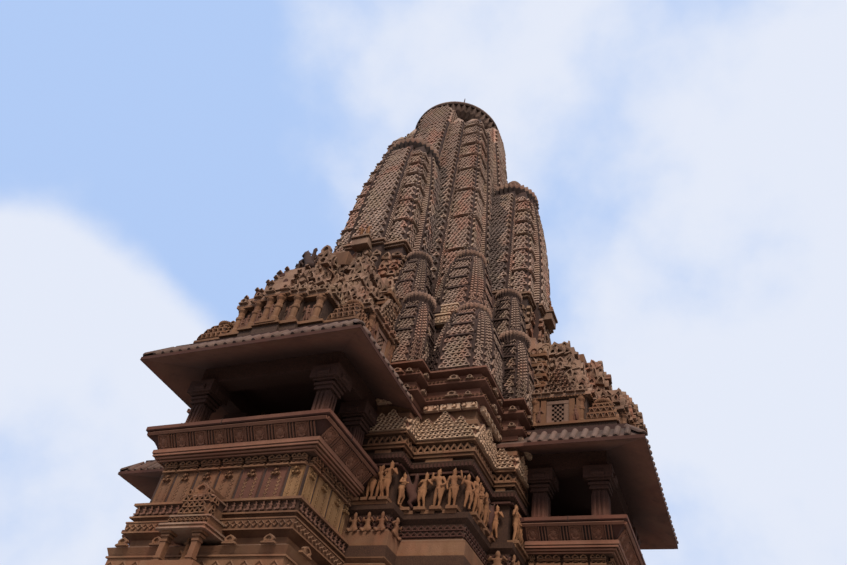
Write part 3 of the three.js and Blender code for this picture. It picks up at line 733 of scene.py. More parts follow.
# figures: limbs and bodies fused and pared down, as carved from one block
def ball(bm, at, radii):
    made = bmesh.ops.create_icosphere(bm, subdivisions=2, radius=1)
    bmesh.ops.scale(bm, vec=radii, verts=made["verts"])
    bmesh.ops.translate(bm, vec=at, verts=made["verts"])


def limb(bm, start, end, thick, thin):
    start, end = Vector(start), Vector(end)
    way = end - start
    turn = way.to_track_quat("Z", "Y").to_matrix().to_4x4()
    made = bmesh.ops.create_cone(bm, cap_ends=True, segments=10, radius1=thick, radius2=thin,
                                 depth=way.length)
    bmesh.ops.transform(bm, matrix=Matrix.Translation((start + end) / 2) @ turn, verts=made["verts"])
    for at, radius in ((start, thick), (end, thin)):
        ball(bm, at, (radius,) * 3)


def changed(model):
    # the model's mesh with its modifiers
    bpy.context.view_layer.update()
    return model.evaluated_get(bpy.context.evaluated_depsgraph_get()).data


def fused(name, build, voxel, faces):
    bm = bmesh.new()
    build(bm)
    mesh = bpy.data.meshes.new(name)
    bm.to_mesh(mesh)
    bm.free()
    model = placed(name, mesh)
    remesh = model.modifiers.new("fuse", "REMESH")
    remesh.mode = "VOXEL"
    remesh.voxel_size = voxel
    count = len(changed(model).polygons) * 2
    pare = model.modifiers.new("pare", "DECIMATE")
    pare.ratio = min(1.0, faces / count)
    made = bmesh.new()
    made.from_mesh(changed(model))
    bpy.data.objects.remove(model)
    return shape(made)


def head(bm, at, tilt=0.0):
    x, y, z = at
    ball(bm, (x, y, z), (.05, .056, .066))
    ball(bm, (x + tilt * .2, y - .052, z - .004), (.011, .016, .02))      # nose
    ball(bm, (x, y - .034, z - .042), (.022, .022, .016))                 # chin
    ball(bm, (x, y + .01, z + .05), (.058, .06, .04))                     # hair
    limb(bm, (x, y + .012, z + .07), (x - tilt, y + .02, z + .135), .036, .016)
    for side in (-1, 1):
        ball(bm, (x + side * .054, y + .004, z - .02), (.014, .016, .026))


def stander(sway, left, right, step=0.0):
    def build(bm):
        hip, chest = (sway * .05, 0, .5), (-sway * .02, -.005, .71)
        ball(bm, hip, (.11, .078, .075))
        ball(bm, chest, (.1, .07, .085))
        limb(bm, hip, chest, .075, .07)
        for side in (-1, 1):
            knee = (side * .07 + sway * .04, -.03 - step * (side > 0), .28)
            ankle = side * .062 + sway * .01
            limb(bm, (hip[0] + side * .058, 0, .48), knee, .064, .046)
            limb(bm, knee, (ankle, .01, .05), .046, .03)
            limb(bm, (ankle, 0, .025), (side * .08, -.07, .02), .028, .022)
            ball(bm, (chest[0] + side * .045, -.05, .725), (.04, .034, .038))
        for side, (elbow, hand) in ((-1, left), (1, right)):
            shoulder = (chest[0] + side * .112, 0, .775)
            limb(bm, shoulder, elbow, .037, .03)
            limb(bm, elbow, hand, .03, .024)
            ball(bm, hand, (.028, .028, .028))
        limb(bm, (chest[0], 0, .78), (chest[0], -.005, .83), .034, .03)
        head(bm, (chest[0], -.012, .875), -sway * .02)
        for height, wide in ((.545, .116), (.455, .12), (.79, .07)):      # girdle, sash and necklace
            for k in range(10):
                turn = 2 * math.pi * k / 10
                x = (hip if height < .7 else chest)[0] + wide * math.cos(turn)
                ball(bm, (x, wide * .7 * math.sin(turn), height), (.022, .016, .012))
        limb(bm, (hip[0], -.08, .45), (hip[0] + .01, -.06, .2), .018, .012)
    return build


# each pose: the sway of the hip, elbow and hand of the left and the right arm, and a step
poses = [
    stander(1, ((-.2, 0, .64), (-.15, -.06, .86)), ((.19, 0, .62), (.12, -.09, .52))),
    stander(-1, ((-.19, 0, .62), (-.08, -.11, .68)), ((.2, -.01, .63), (.1, -.1, .74)), .03),
    stander(.4, ((-.18, .01, .6), (-.14, -.02, .45)), ((.21, 0, .68), (.17, -.04, .9)), .02),
]
figures = [fused("figure", pose, .014, 600) for pose in poses]


def rearingBeast(bm):
    limb(bm, (.1, 0, .3), (-.08, 0, .62), .13, .12)
    limb(bm, (-.08, 0, .62), (-.14, -.02, .78), .11, .09)
    ball(bm, (-.18, -.03, .84), (.11, .09, .09))
    ball(bm, (-.27, -.04, .81), (.06, .05, .045))
    for side in (-1, 1):
        limb(bm, (.12, side * .07, .28), (.02, side * .08, .16), .08, .05)
        limb(bm, (.02, side * .08, .16), (.12, side * .08, .03), .05, .04)
        limb(bm, (-.12, side * .07, .6), (-.28, side * .08, .56), .05, .04)
        limb(bm, (-.28, side * .08, .56), (-.26, side * .08, .44), .04, .03)
        ball(bm, (-.14, side * .06, .92), (.03, .025, .04))
    limb(bm, (.2, 0, .26), (.3, 0, .5), .03, .025)
    limb(bm, (.3, 0, .5), (.2, 0, .66), .025, .03)
    limb(bm, (.08, 0, .52), (.1, -.01, .78), .06, .055)
    head(bm, (.1, -.02, .86))


def seated(bm):
    ball(bm, (0, -.1, .26), (.26, .2, .24))
    ball(bm, (0, -.12, .54), (.19, .17, .18))
    ball(bm, (0, -.16, .83), (.13, .14, .15))
    ball(bm, (0, -.14, .95), (.09, .1, .08))
    for side in (-1, 1):
        limb(bm, (side * .14, -.16, .14), (side * .36, -.3, .16), .11, .08)
        limb(bm, (side * .36, -.3, .16), (side * .16, -.34, .06), .08, .06)
        limb(bm, (side * .2, -.12, .62), (side * .4, -.16, .56), .07, .06)
        limb(bm, (side * .4, -.16, .56), (side * .28, -.28, .7), .06, .05)


beast = fused("beast", rearingBeast, .016, 420)
dwarf = fused("dwarf", seated, .06, 90)
guard = fused("guard", seated, .03, 300)
print("figures shaped")


def troop(face, z, shares, tall, out=.1, kinds=(0, 1, 2)):
    # a row of standing figures against a face, by the pose they take
    rows = {0: [], 1: [], 2: []}
    for i, share in enumerate(shares):
        (x, y), across = along(face, share, out)
        rows[kinds[i % len(kinds)]].append(spot((x, y, z), tall * chance.uniform(.9, 1.05), across))
    return rows


def gather(troops):
    return [(figures[kind], sum((rows[kind] for rows in troops), [])) for kind in range(3)]


# balconies: parapet, frieze under the seat, panels and ledges
def toArms(index, spots):
    # from one arm to all; the way in takes the place of the fourth arm's front face
    return turned(spots, balconySides if index == 1 else everySide)


# a carving's row: how far up the back rest it stands, its size, and its places within a unit
parapet = {
    "foot": 5.18, "inset": .31, "rise": .33, "reach": .27, "unit": .46,
    "carving": {"rosette": (.07, (.24, .03, .3), (.3,)), "gap": (.01, (.2, .012, .36), (.78,)),
                "ridge": (.01, (.026, .045, .36), (.64, .78, .92))},
    "bands": ((.84, .5, .055, .065), (-.02, .02, .05, .03)), "ring": (1.16, 1, 1.06, 1)}
seat = {"lip": (5.535, .012, .08), "joint": (5.5, .44, (.014, .02, .125)),
        "edges": ((.25, 5.09, .085), (.27, 5.035, .045), (.32, 4.985, .04), (.37, 4.945, .03))}


def onParapet(face, up, size, share):
    # a shape on the leaning back rest, up from its foot as a share of its rise
    height = parapet["foot"] + parapet["rise"] * up
    return rowOn(face, height, [share], size, parapet["reach"] * up, parapet["reach"] / parapet["rise"])


railCarving = {"rosette": [], "gap": [], "ridge": []}
bands, lips, seatBands = [], [], []
for index, face in enumerate(armFaces(parapet["inset"])):
    units = round(span(face) / parapet["unit"])
    for kind, (up, size, places) in parapet["carving"].items():
        for share in [(i + place) / units for i in range(units) for place in places]:
            railCarving[kind] += toArms(index, onParapet(face, up, size, share))
    for up, longer, deep, tall in parapet["bands"]:
        bands += toArms(index, onParapet(face, up, (span(face) + longer, deep, tall), .5))
for index, face in enumerate(armFaces(0)):
    z, deep, tall = seat["lip"]
    lips += toArms(index, rowOn(face, z, centred, (span(face), deep, tall)))
    z, share, size = seat["joint"]
    railCarving["gap"] += toArms(index, rowOn(face, z, [share], size))
for inset, z, tall in seat["edges"]:
    for index, face in enumerate(armFaces(inset)):
        seatBands += toArms(index, rowOn(face, z, centred, (span(face) + .06, .03, tall)))
rings = [place @ np.diag(parapet["ring"]) for place in railCarving["rosette"]]
carved("parapet_rosettes", "railStone", (rosette, railCarving["rosette"]), (frameRing, rings),
       sides=oneSide)
carved("parapet_ridges", "railStone", (bar, railCarving["ridge"]), (slab, bands), sides=oneSide)
# dark slabs: painted shade in the gaps between the ridges, and the seat's dark joint
carved("parapet_gaps", "paintedShadeStone", (slab, railCarving["gap"]), sides=oneSide)
carved("parapet_lip", "umberStone", (slab, lips), sides=oneSide)
carved("seat_edges", "railStone", (slab, seatBands), sides=oneSide)

# panels, by their edges on the arm's front and side faces, with a chain down both sides of each
panels = {
    "inset": .51, "front": (-1.755, -1.375, -.825, -.275, .275, .825, 1.375, 1.755),
    "side": (0, .38, .97, 1.56, 1.72), "foot": 4.01, "joint": (4.0, (.085, .014, .72)), "umber": (4, 5),
    "mesh": (4.53, .1, .08), "chain": (4.05, .078, 6),
    "shelves": ((4.725, .05, .1, .035), (4.83, .08, .08, .03)),
    "crests": ((4.76, .3, .08, .07, 0), (4.86, .27, .07, .1, .045))}
frontStart, frontEnd = panels["front"][0], panels["front"][-1]
frontEdges = [(x - frontStart) / (frontEnd - frontStart) for x in panels["front"]]
sideEdges = [x / panels["side"][-1] for x in panels["side"]]
panelEdges = [[1 - x for x in sideEdges], frontEdges, sideEdges]
plates, panelMesh, chains = ({"buff": [], "umber": [], "warm": []} for _ in range(3))
crests, shelves, joints = [], [], []
for index, face in enumerate(armFaces(panels["inset"])):
    edges = panelEdges[index]
    for i, (low, high) in enumerate(zip(edges, edges[1:])):
        low, high = sorted((low, high))
        wide, middle = (high - low) * span(face), (low + high) / 2
        panelFace = part(face, low, high)
        tone = "buff" if index == 2 or index == 1 and middle > .85 else "warm"
        plate = "umber" if index == 1 and i in panels["umber"] else tone
        plates[plate] += toArms(index, rowOn(face, panels["foot"], [middle], (wide - .075, .04, .71)))
        z, size = panels["joint"]
        joints += toArms(index, rowOn(face, z, [low], size))
        z, half, tall = panels["mesh"]
        meshFace = part(face, middle - half / span(face), middle + half / span(face))
        panelMesh[tone] += toArms(index, meshOn(meshFace, z, 2, 2, .08, tall, True))
        z, pitch, links = panels["chain"]
        for k in range(links):
            link = rowOn(panelFace, z + pitch * k, (.3, .7), (wide * .2, .008, .088), .026)
            chains[tone] += toArms(index, link)
        for z, less, deep, tall in panels["shelves"]:
            shelves += toArms(index, rowOn(face, z, [middle], (wide - less, deep, tall)))
        for z, share, deep, tall, out in panels["crests"]:
            crests += toArms(index, rowOn(panelFace, z, (.2, .5, .8), (wide * share, deep, tall), out))
for tone in plates:
    carved("panels_" + tone, tone + "Stone", (panel, plates[tone]), (bloom, panelMesh[tone]),
           (lozenge, chains[tone]), sides=oneSide)
carved("panel_joints", "darkAndShadeStone", (slab, joints), sides=oneSide)
carved("balcony_frieze", "warmStone", (slab, shelves), sides=oneSide)
carved("balcony_crests", "warmStone", (arch, crests), sides=oneSide)

# the plinth's carving, all round: ledges and slabs by inset or ring, rows by height, pitch and size
plinth = {
    "ledges": ((.36, 3.945, .06, .05), (.36, 3.69, .05, .035), (.33, 3.575, .035, .03),
               (.34, 3.375, .04, .03)),
    "dwarfs": (.36, 3.74, .165, (.15, .17, .2)), "leaves": (.325, 3.415, .15, (.15, .035, .15)),
    "lotus": (.2, 3.05, .82, (.3, .07, .17)),
    "slabs": ((2.58, .02), (2.87, .02), (2.12, .09), (1.86, .09), (1.33, .2), (.58, .33), (.87, .33)),
    "rows": (("lozenge", .02, 2.62, .3, .2), ("bloom", .09, 1.92, .42, .17),
             ("lozenge", .2, 1.06, .5, .24))}
ledges = [place for inset, *course in plinth["ledges"] for place in courseOn(armFaces(inset), *course)]
sitting, leaves, lotus = (pitchRows(armFaces(plinth[key][0]), *plinth[key][1:])
                          for key in ("dwarfs", "leaves", "lotus"))
carved("plinth_ledges", "warmStone", (slab, ledges), (lozenge, leaves), (crest, lotus))
# the seated dwarfs in a darker stone: painted shade of their recess
carved("plinth_dwarfs", "nicheShadeStone", (dwarf, sitting))
print("balconies dressed")

# corner piers: figures on pedestals, mesh gables, friezes and crests
pier = {
    "near": 4.27, "far": 4.77, "step": 2.85, "floor": 4.93,
    # standing figures on each face: z, shares of its length, size, distance out and poses
    "troops": ((4.93, (.42, .68, .9), .84, .13, (2, 0, 1)), (4.95, (.38, .6, .84), .86, .14, (1, 0, 2)),
               (4.95, (.16, .4, .62), .86, .14, (2, 1, 0)), (4.93, (.1, .32, .58), .84, .13, (0, 2, 1))),
    "pedestals": ((4.87, 4, (.26, .26, .07)), (4.8, 3, (.3, .2, .08))), "canopy": (5.74, .1, .05),
    # rows by height, pitch and size; courses by height, depth and height of their own
    "arcade": ((4.34, .14, (.14, .03, .13)), (4.47, .14, (.14, .03, .13))),
    "dwarfs": (4.2, .34, (.34, .3, .44)), "drips": (5.86, .09, (.06, .03, .12)),
    "arches": (6.26, .15, (.15, .07, .22)), "plaque": (5.99, .45, .06, .13),
    "courses": ((6.13, .1, .06), (6.2, .14, .035), (6.5, .1, .05)), "wall": (6.55, .09, .34),
    "mesh": (6.57, 3, .06, .1),
    # gables on each face: middle as a share of its length, and columns of mesh
    "peaks": (((.62, 3), (.3, 2)), ((.52, 5), (.22, 3), (.8, 3)), ((.48, 5), (.78, 3), (.2, 3)),
              ((.38, 3), (.7, 2)), ((.5, 3),), ((.5, 3),)),
    "column": .12, "row": .085, "gableFoot": (6.82, 6.86), "boxes": ((.2, .25), (.53, .34), (.86, .25)),
    # crests over the walls: height and distance out
    "crests": ((7.565, .05), (8.035, .04))}


def pierFaces(out):
    # the outer faces of the front right pier, from the front arm round to the right arm
    near, far, step = (pier[key] + out for key in ("near", "far", "step"))
    return [((1.8, -far), (step, -far)), ((step, -near), (near, -near)), ((near, -near), (near, -step)),
            ((far, -step), (far, -1.8))]


def returnFaces(out):
    # the narrow faces between the steps of that pier
    near, far, step = (pier[key] + out for key in ("near", "far", "step"))
    return [((step, -far), (step, -near)), ((near, -step), (far, -step))]


def allFaces(out):
    return pierFaces(out) + returnFaces(out)


def plinthFaces(ring):
    return armFaces(.3 - ring) + pierFaces(ring)


lowRows = {"lozenge": [], "bloom": []}
for kind, ring, z, pitch, tall in plinth["rows"]:
    lowRows[kind] += pitchRows(plinthFaces(ring), z, pitch, (tall, .035, tall))
lowSlabs = [place for z, ring in plinth["slabs"] for place in courseOn(plinthFaces(ring), z, .035, .035)]
lowRows["bloom"] += pitchRows(pierFaces(.09), 3.07, .3, (.16, .05, .12))
carved("plinth_rows", "warmStone", (slab, lowSlabs), (lozenge, lowRows["lozenge"]),
       (bloom, lowRows["bloom"]))

pedestals, canopies, arcade, shelves, gables, boxes, blooms, hoods, small, backs, wall = (
    [] for _ in range(11))
lowerFaces, lowerReturns = pierFaces(-.24), returnFaces(-.24)
cornerFace = ((3.98, -4.1), (4.1, -3.98))
troops = [troop(face, *standing) for face, standing in zip(lowerFaces, pier["troops"])]
troops.append(troop(cornerFace, pier["floor"], centred, .86))
for face, share in zip(lowerReturns, (.4, .5)):
    troops.append(troop(face, pier["floor"], [share], .8, kinds=(1,)))
beasts = [spot((2.84, -4.16, pier["floor"]), .84, (1, .12, 0)),
          spot((4.16, -2.84, pier["floor"]), .84, (-.12, -1, 0))]
for face in lowerFaces:
    for z, count, size in pier["pedestals"]:
        pedestals += rowOn(face, z, even(count), size)
for face in lowerFaces + lowerReturns:
    z, deep, tall = pier["canopy"]
    canopies += rowOn(face, z, centred, (span(face) + .1, deep, tall))
for face in allFaces(-.15):
    for row in pier["arcade"]:
        arcade += pitchRows([face], *row)
footFaces = returnFaces(-.12) + pierFaces(-.12)[::3]
footDwarfs = pitchRows(footFaces, *pier["dwarfs"])
drips = pitchRows(allFaces(-.1), *pier["drips"])
for face in allFaces(-.2):
    for course in pier["courses"]:
        shelves += courseOn([face], *course)
    z, share, deep, tall = pier["plaque"]
    shelves += rowOn(face, z, centred, (span(face) * share, deep, tall))
    small += pitchRows([face], *pier["arches"])
    wall += courseOn([face], *pier["wall"])
for face in allFaces(-.11):
    z, rows, deep, tall = pier["mesh"]
    gables += meshOn(face, z, rows, max(3, round(span(face) / pier["column"])), deep, tall)
for face, peaks in zip(allFaces(-.2), pier["peaks"]):
    for middle, count in peaks:
        wide, tall = count * pier["column"], count * pier["row"]
        backFoot, meshFoot = pier["gableFoot"]
        backs += rowOn(face, backFoot, [middle], (wide + .04, .1, tall + .11))
        gableFace = part(face, middle - wide / 2 / span(face), middle + wide / 2 / span(face), .09)
        gables += meshOn(gableFace, meshFoot, count, count, .06, pier["row"], True)
for face in pierFaces(-.1):
    for share, wide in pier["boxes"]:
        boxes += rowOn(face, 7.29, [share], (span(face) * wide, .09, .15))
        blooms += rowOn(face, 7.3, [share - .08, share + .08], (.14, .12, .13))
for z, out in pier["crests"]:
    for face in pierFaces(out):
        hoods += rowOn(face, z, [.46], (.32, .08, .14)) + rowOn(face, z, [.74], (.18, .07, .1))
        small += pitchRows([face], z - .012, .1, (.08, .035, .045))
    for face in returnFaces(out):
        hoods += rowOn(face, z, centred, (.2, .08, .11))
carved("pier_dwarfs", "warmStone", (guard, footDwarfs), soft=True)
carved("pier_mesh", "meshStone", (arch, gables))
# backs of the gables and the wall over them in a darker stone: painted shade
carved("pier_mesh_backs", "nicheShadeStone", (pointed, backs), (slab, wall))
carved("pier_trim", "warmStone", (slab, pedestals + shelves), (arch, small))
carved("pier_canopies", "shadowStone", (slab, canopies), (bar, drips), (arch, arcade))
carved("pier_boxes", "meshStone", (slab, boxes), (bloom, blooms))
carved("cornice_crests", "carvedStone", (crest, hoods))
carved("pier_figures", "figureStone", *gather(troops), soft=True)
carved("pier_beasts", "shadowStone", (beast, beasts), soft=True)
print("piers dressed")

# eaves: ribs up the slope that end in scallops, and a lip
eave = {"half": 2.825, "out": 7.56, "rear": 4.86, "pitch": .245, "foot": 7.17, "reach": .4, "least": .15,
        "rib": (.62, 1.48, .19), "slope": (.75, .66), "lip": (7.086, .012, .09)}
eaveFaces = boxFaces(eave["half"], eave["out"], eave["rear"])
rib = relief([(.5 * math.cos(math.pi * i / 6), .5 * math.sin(math.pi * i / 6)) for i in range(7)],
             [(.001, .94), (.12, .06)])
eaveRibs = []
wide, tall, thick = eave["rib"]
outwards, upwards = eave["slope"]
for index, face in enumerate(eaveFaces):
    length = span(face)
    for share in even(round(length / eave["pitch"])):
        hips = {0: [1 - share], 1: [share, 1 - share], 2: [share]}[index]
        inset = min(eave["reach"], *(hip * length - .08 for hip in hips))
        if inset < eave["least"]:
            continue
        (x, y), across = along(face, share, -inset)
        size = (eave["pitch"] * wide, inset * tall, thick * chance.uniform(.8, 1.05))
        slope = (across[1] / length * outwards, -across[0] / length * outwards, upwards)
        eaveRibs.append(spot((x, y, eave["foot"] + inset * 1.1), size, across, slope))
for hand in (-1, 1):
    out = (hand * .62 / math.sqrt(2), -.62 / math.sqrt(2), .78)
    place = (hand * (eave["half"] - eave["reach"]), -eave["out"] + eave["reach"], 7.62)
    eaveRibs.append(spot(place, (.22, .69, .17), (1, hand, 0), out))
carved("eave_ribs", "ribStone", (rib, eaveRibs))
carved("eave_lip", "shadowStone", (slab, courseOn(eaveFaces, *eave["lip"])))
print("eaves dressed")

# colonnades: fillets, mouldings and bracket scrolls on the pillars
# fillets and scrolls: distance from the pillar's middle, height and size; collars: height, width and rise
pillar = {"at": ((-1.625, -6.36), (1.625, -6.36), (-1.625, -4.98), (1.625, -4.98)),
          "fillets": (-.1, 0, .1), "fillet": (.158, 5.51, (.065, .035, .97)),
          "collars": ((5.4, .42, .06), (6.46, .42, .05), (6.56, .46, .06), (6.66, .52, .05)),
          "scroll": (.3, 6.8, (.16, .16, .3))}
pillarFillets, collars, scrolls = [], [], []
for x, y in pillar["at"]:
    for dx, dy in ((0, -1), (1, 0), (0, 1), (-1, 0)):
        across = (-dy, dx, 0)
        out, z, size = pillar["fillet"]
        for k in pillar["fillets"]:
            at = (x + dx * out - dy * k, y + dy * out + dx * k, z)
            pillarFillets.append(spot(at, size, across))
        for z, wide, tall in pillar["collars"]:
            collars.append(spot((x + dx * .18, y + dy * .18, z), (wide, wide / 2 - .17, tall), across))
        out, z, size = pillar["scroll"]
        scrolls.append(spot((x + dx * out, y + dy * out, z), size, (dx, dy, 0), across))
scroll = lathe([(0, -.5), (.5, -.5), (.5, .5), (0, .5)], 10)
carved("pillar_carving", "porchStone", (bar, pillarFillets), (slab, collars), (scroll, scrolls))
print("colonnades dressed")

# arm roofs: niches with figures, a cornice, and carved steps up to the half spire
# each tier: half widths and how far out each of its steps stands, its foot and its top
roofTiers = [
    ([(2.18, 6.88), (1.39, 6.96), (.78, 7.07), (.35, 7.14)], 7.75, 8.07),
    ([(1.95, 6.15), (1.18, 6.83), (.64, 6.95), (.23, 7.05)], 8.07, 9.05),
    ([(1.7, 6.1), (1.25, 6.86), (.7, 7.0), (.3, 7.2)], 9.05, 9.28),
    ([(1.62, 6.08), (1.0, 6.86), (.56, 6.98), (.29, 7.15)], 9.28, 9.5),
    ([(1.5, 6.06), (.76, 6.86), (.28, 7.09)], 9.5, 9.72),
    ([(1.38, 6.02), (.56, 6.8), (.3, 6.9)], 9.72, 10.04),
    ([(1.26, 5.85), (.35, 6.33)], 10.04, 10.65),
    ([(1.12, 5.65), (.33, 6.18)], 10.65, 11.25),
    ([(1.0, 5.45)], 11.25, 11.54),
]
# bare: the front arm has lost its carving left of this x, in front of this y and below this height
roof = {
    "rear": 4.72, "niche": 8.09, "column": (.21, .19, .8), "sideColumn": (.16, .16, .8),
    # rails on the front faces: height, how much longer than the face, depth and height of their own
    "rails": ((8.03, .1, .17, .06), (8.84, .06, .16, .045)), "sideRail": (8.03, 0, .14, .06),
    "footRail": (7.99, .04, .06, .07),
    "bare": (.3, -6.3, 10.04), "bandAt": (9.2, 9.55, 9.9, 10.25, 10.6),
    "cladAt": (9.06, 9.32, 9.58, 9.84, 10.1, 10.36, 10.62),
    "sockets": ((-.42, -7.0, 9.33), (-.05, -7.17, 9.52), (-.62, -6.98, 9.1), (-.9, -6.87, 9.36),
                (.1, -7.16, 9.3)),
    "crests": (((.12, -6.1, 11.22), (.42, .12, .4)), ((.32, -6.28, 10.62), (.4, .14, .3)),
               ((-.2, -6.36, 10.6), (.3, .14, .25))),
    "topStone": ((.2, -5.2, 11.25), (.6, .52, .55)),
    "beast": ((.1, -6.62, 10.04), .98, (.9, -.2, 0)), "keeper": ((-.12, -6.68, 10.04), .55),
    # two slabs round the core at each band's height: how far above it, and size
    "bandPlace": (1.2, -4.1), "bands": ((0, (1.0, .92, .1)), (.16, (.92, .88, .05))),
    "cornice": (9.0, .3, (.24, .1, .15), .2), "beads": (8.885, .08, (.05, .04, .04)),
    # the gable of mesh over a window bay: half width, then height, rows, columns, depth and rise
    "gable": (.42, 9.08, 7, 7, .12, .12)}
# a window bay: stones and posts by their distance from its middle, bars across, and a chequered lattice
bay = {"stones": (-.54, -.36, .36, .54), "stoneSize": (.14, .1, .76), "posts": (-.22, .22),
       "postSize": (.13, .07, .72), "foot": 8.1, "head": 8.72, "barSize": (.56, .08, .1),
       "voidSize": (.33, .012, .52), "latticeFoot": 8.2, "rows": 8, "columns": 5, "pitch": (.062, .065),
       "blockSize": (.063, .05, .066)}
socketHole = relief([(-.5, 0), (.5, 0), (.42, .7), (0, 1), (-.42, .7)], [(.001, 1)])


def tierFaces(steps, out=0.0):
    # front faces of a tier from left to right, its two side faces, and the returns between its steps
    inners = [u for u, _ in steps[1:]] + [-steps[-1][0] - out]
    right = [((inner, -v - out), (u + out, -v - out)) for (u, v), inner in zip(steps, inners)]
    left = [((-b[0], b[1]), (-a[0], a[1])) for a, b in right[:-1]]
    wide, front = steps[0][0] + out, steps[0][1]
    sides = [((-wide, -roof["rear"]), (-wide, -front)), ((wide, -front), (wide, -roof["rear"]))]
    returns = []
    for (_, near), (u, far) in zip(steps, steps[1:]):
        returns += [((-u - out, -near), (-u - out, -far)), ((u + out, -far), (u + out, -near))]
    return left + right[::-1], sides, returns


def railOn(face, z, longer, deep, tall):
    return rowOn(face, z, centred, (span(face) + longer, deep, tall))


def scatterOn(face, low, tall, pitch, bag, keep=lambda x, y: True):
    # broken carving: pieces of several kinds, each tilted a little, along a face
    length = span(face)
    count = max(1, round(length / pitch))
    for i in range(count):
        (x, y), across = along(face, (i + .5 + chance.uniform(-.2, .2)) / count)
        kind = chance.choice(("curl", "arch", "arch", "bloom", "crest"))
        tilt = chance.uniform(-.35, .35)
        way = Vector(across).normalized()
        size = (length / count * chance.uniform(.9, 1.3), chance.uniform(.04, .13),
                tall * chance.uniform(.8, 1.3))
        if keep(x, y):
            bag[kind].append(spot((x, y, low + chance.uniform(-.02, .04)), size,
                                  way * math.cos(tilt) + Vector((0, 0, math.sin(tilt))),
                                  Vector((0, 0, math.cos(tilt))) - way * math.sin(tilt)))


columns, rails, bayStones, lattice, voids, crestsUp, carvings, niches, edging = ([] for _ in range(9))
fronts, sides, returns = tierFaces(roofTiers[1][0])
for face in fronts:
    length = span(face)
    (x, y), _ = along(face, .5)
    if abs(y) < 6.5:
        continue
    ends = [.09 / length] if x < .2 else []
    ends += [1 - .09 / length] if x > -.2 else []
    columns += rowOn(face, roof["niche"], ends, roof["column"], .06)
    for rail in roof["rails"]:
        rails += railOn(face, *rail)
    niches.append(troop(face, roof["niche"], [.34, .62] if length > .5 else [.45], .6, .06, (0, 2, 1)))
for face in sides:
    length = span(face)
    rails += railOn(face, *roof["sideRail"])
    stoneShares, postShares = ([.5 + x / length for x in bay[key]] for key in ("stones", "posts"))
    bayStones += rowOn(face, roof["niche"], stoneShares, bay["stoneSize"])
    lattice += rowOn(face, bay["foot"], postShares, bay["postSize"])
    for z in (bay["foot"], bay["head"]):
        lattice += rowOn(face, z, centred, bay["barSize"])
    voids += rowOn(face, bay["latticeFoot"], centred, bay["voidSize"])
    pitch, rise = bay["pitch"]
    for row in range(bay["rows"]):
        shares = [.5 + (column - 2) * pitch / length for column in range(bay["columns"])
                  if (row + column) % 2 == 0]
        lattice += rowOn(face, bay["latticeFoot"] + rise * row, shares, bay["blockSize"])
    columns += rowOn(face, roof["niche"], [.09, .91], roof["sideColumn"], .04)
    niches.append(troop(face, roof["niche"], [.18, .82], .62, .08, (1, 2)))
    half, *gableRows = roof["gable"]
    carvings += meshOn(part(face, .5 - half / length, .5 + half / length), *gableRows, True)
for face in sum(tierFaces(roofTiers[1][0], .1), []):
    crestsUp += pitchRows([face], *roof["cornice"])
    rails += pitchRows([face], *roof["beads"])
for face in sum(tierFaces(roofTiers[0][0])[:2], []):
    rails += railOn(face, *roof["footRail"])
kinds = {"curl": curl, "arch": arch, "bloom": bloom, "crest": crest}
plain, clad, courses = ({kind: [] for kind in kinds} for _ in range(3))
x, y = roof["bandPlace"]
for z in roof["bandAt"]:
    for above, size in roof["bands"]:
        rails += [spot((hand * x, y, z + above), size) for hand in (-1, 1)]
coreFaces = (((1.6, -4.91), (1.6, -4.27)), ((-1.6, -4.27), (-1.6, -4.91)),
             ((1.12, -4.92), (1.6, -4.92)), ((-1.6, -4.92), (-1.12, -4.92)))
for z in roof["cladAt"]:
    for face in coreFaces:
        scatterOn(face, z, .26, .21, clad)
bareX, bareY, bareTop = roof["bare"]
for steps, low, high in roofTiers[2:]:
    levels = 2 if high - low > .4 else 1
    tall = (high - low) / levels
    below = high <= bareTop
    for face in sum(tierFaces(steps), []):
        for level in range(levels):
            for bag, bare in ((plain, True), (clad, False)):
                scatterOn(face, low + level * tall, tall, .21, bag,
                          lambda x, y: (below and x < bareX and y < bareY) == bare)
        if below and along(face, .5)[0][1] < bareY:
            edging += rowOn(face, high, [.12], (.12, .07, .09))
sockets = [spot(at, (.13, .02, .12)) for at in roof["sockets"]]
frontCrests = [spot(at, size) for at, size in roof["crests"]]
carved("roof_columns", "warmStone", (drum, columns))
carved("roof_rails", "warmStone", (slab, rails + bayStones))
carved("roof_lattice", "discStone", (slab, lattice))
# a dark slab behind the lattice: painted shade in the window's opening
carved("roof_voids", "paintedShadeStone", (slab, voids))
carved("roof_sockets", "shadowStone", (socketHole, sockets), sides=oneSide)
carved("roof_carving", "carvedStone", (arch, turned(carvings)), (crest, turned(crestsUp + frontCrests)),
       *[(kinds[kind], turned(clad[kind]) + turned(plain[kind], otherSides)) for kind in kinds],
       sides=oneSide)
carved("roof_edging", "roofStone", (curl, edging), sides=oneSide)
carved("roof_stones", "warmStone", (slab, [spot(*roof["topStone"])]))
# the niche figures in a darker stone: painted shade of the niches
carved("roof_figures", "nicheShadeStone", *gather(niches), soft=True)
carved("roof_statue", "darkAndShadeStone", (beast, [spot(*roof["beast"])]), (figures[1], [spot(*roof["keeper"])]),
       sides=oneSide, soft=True)

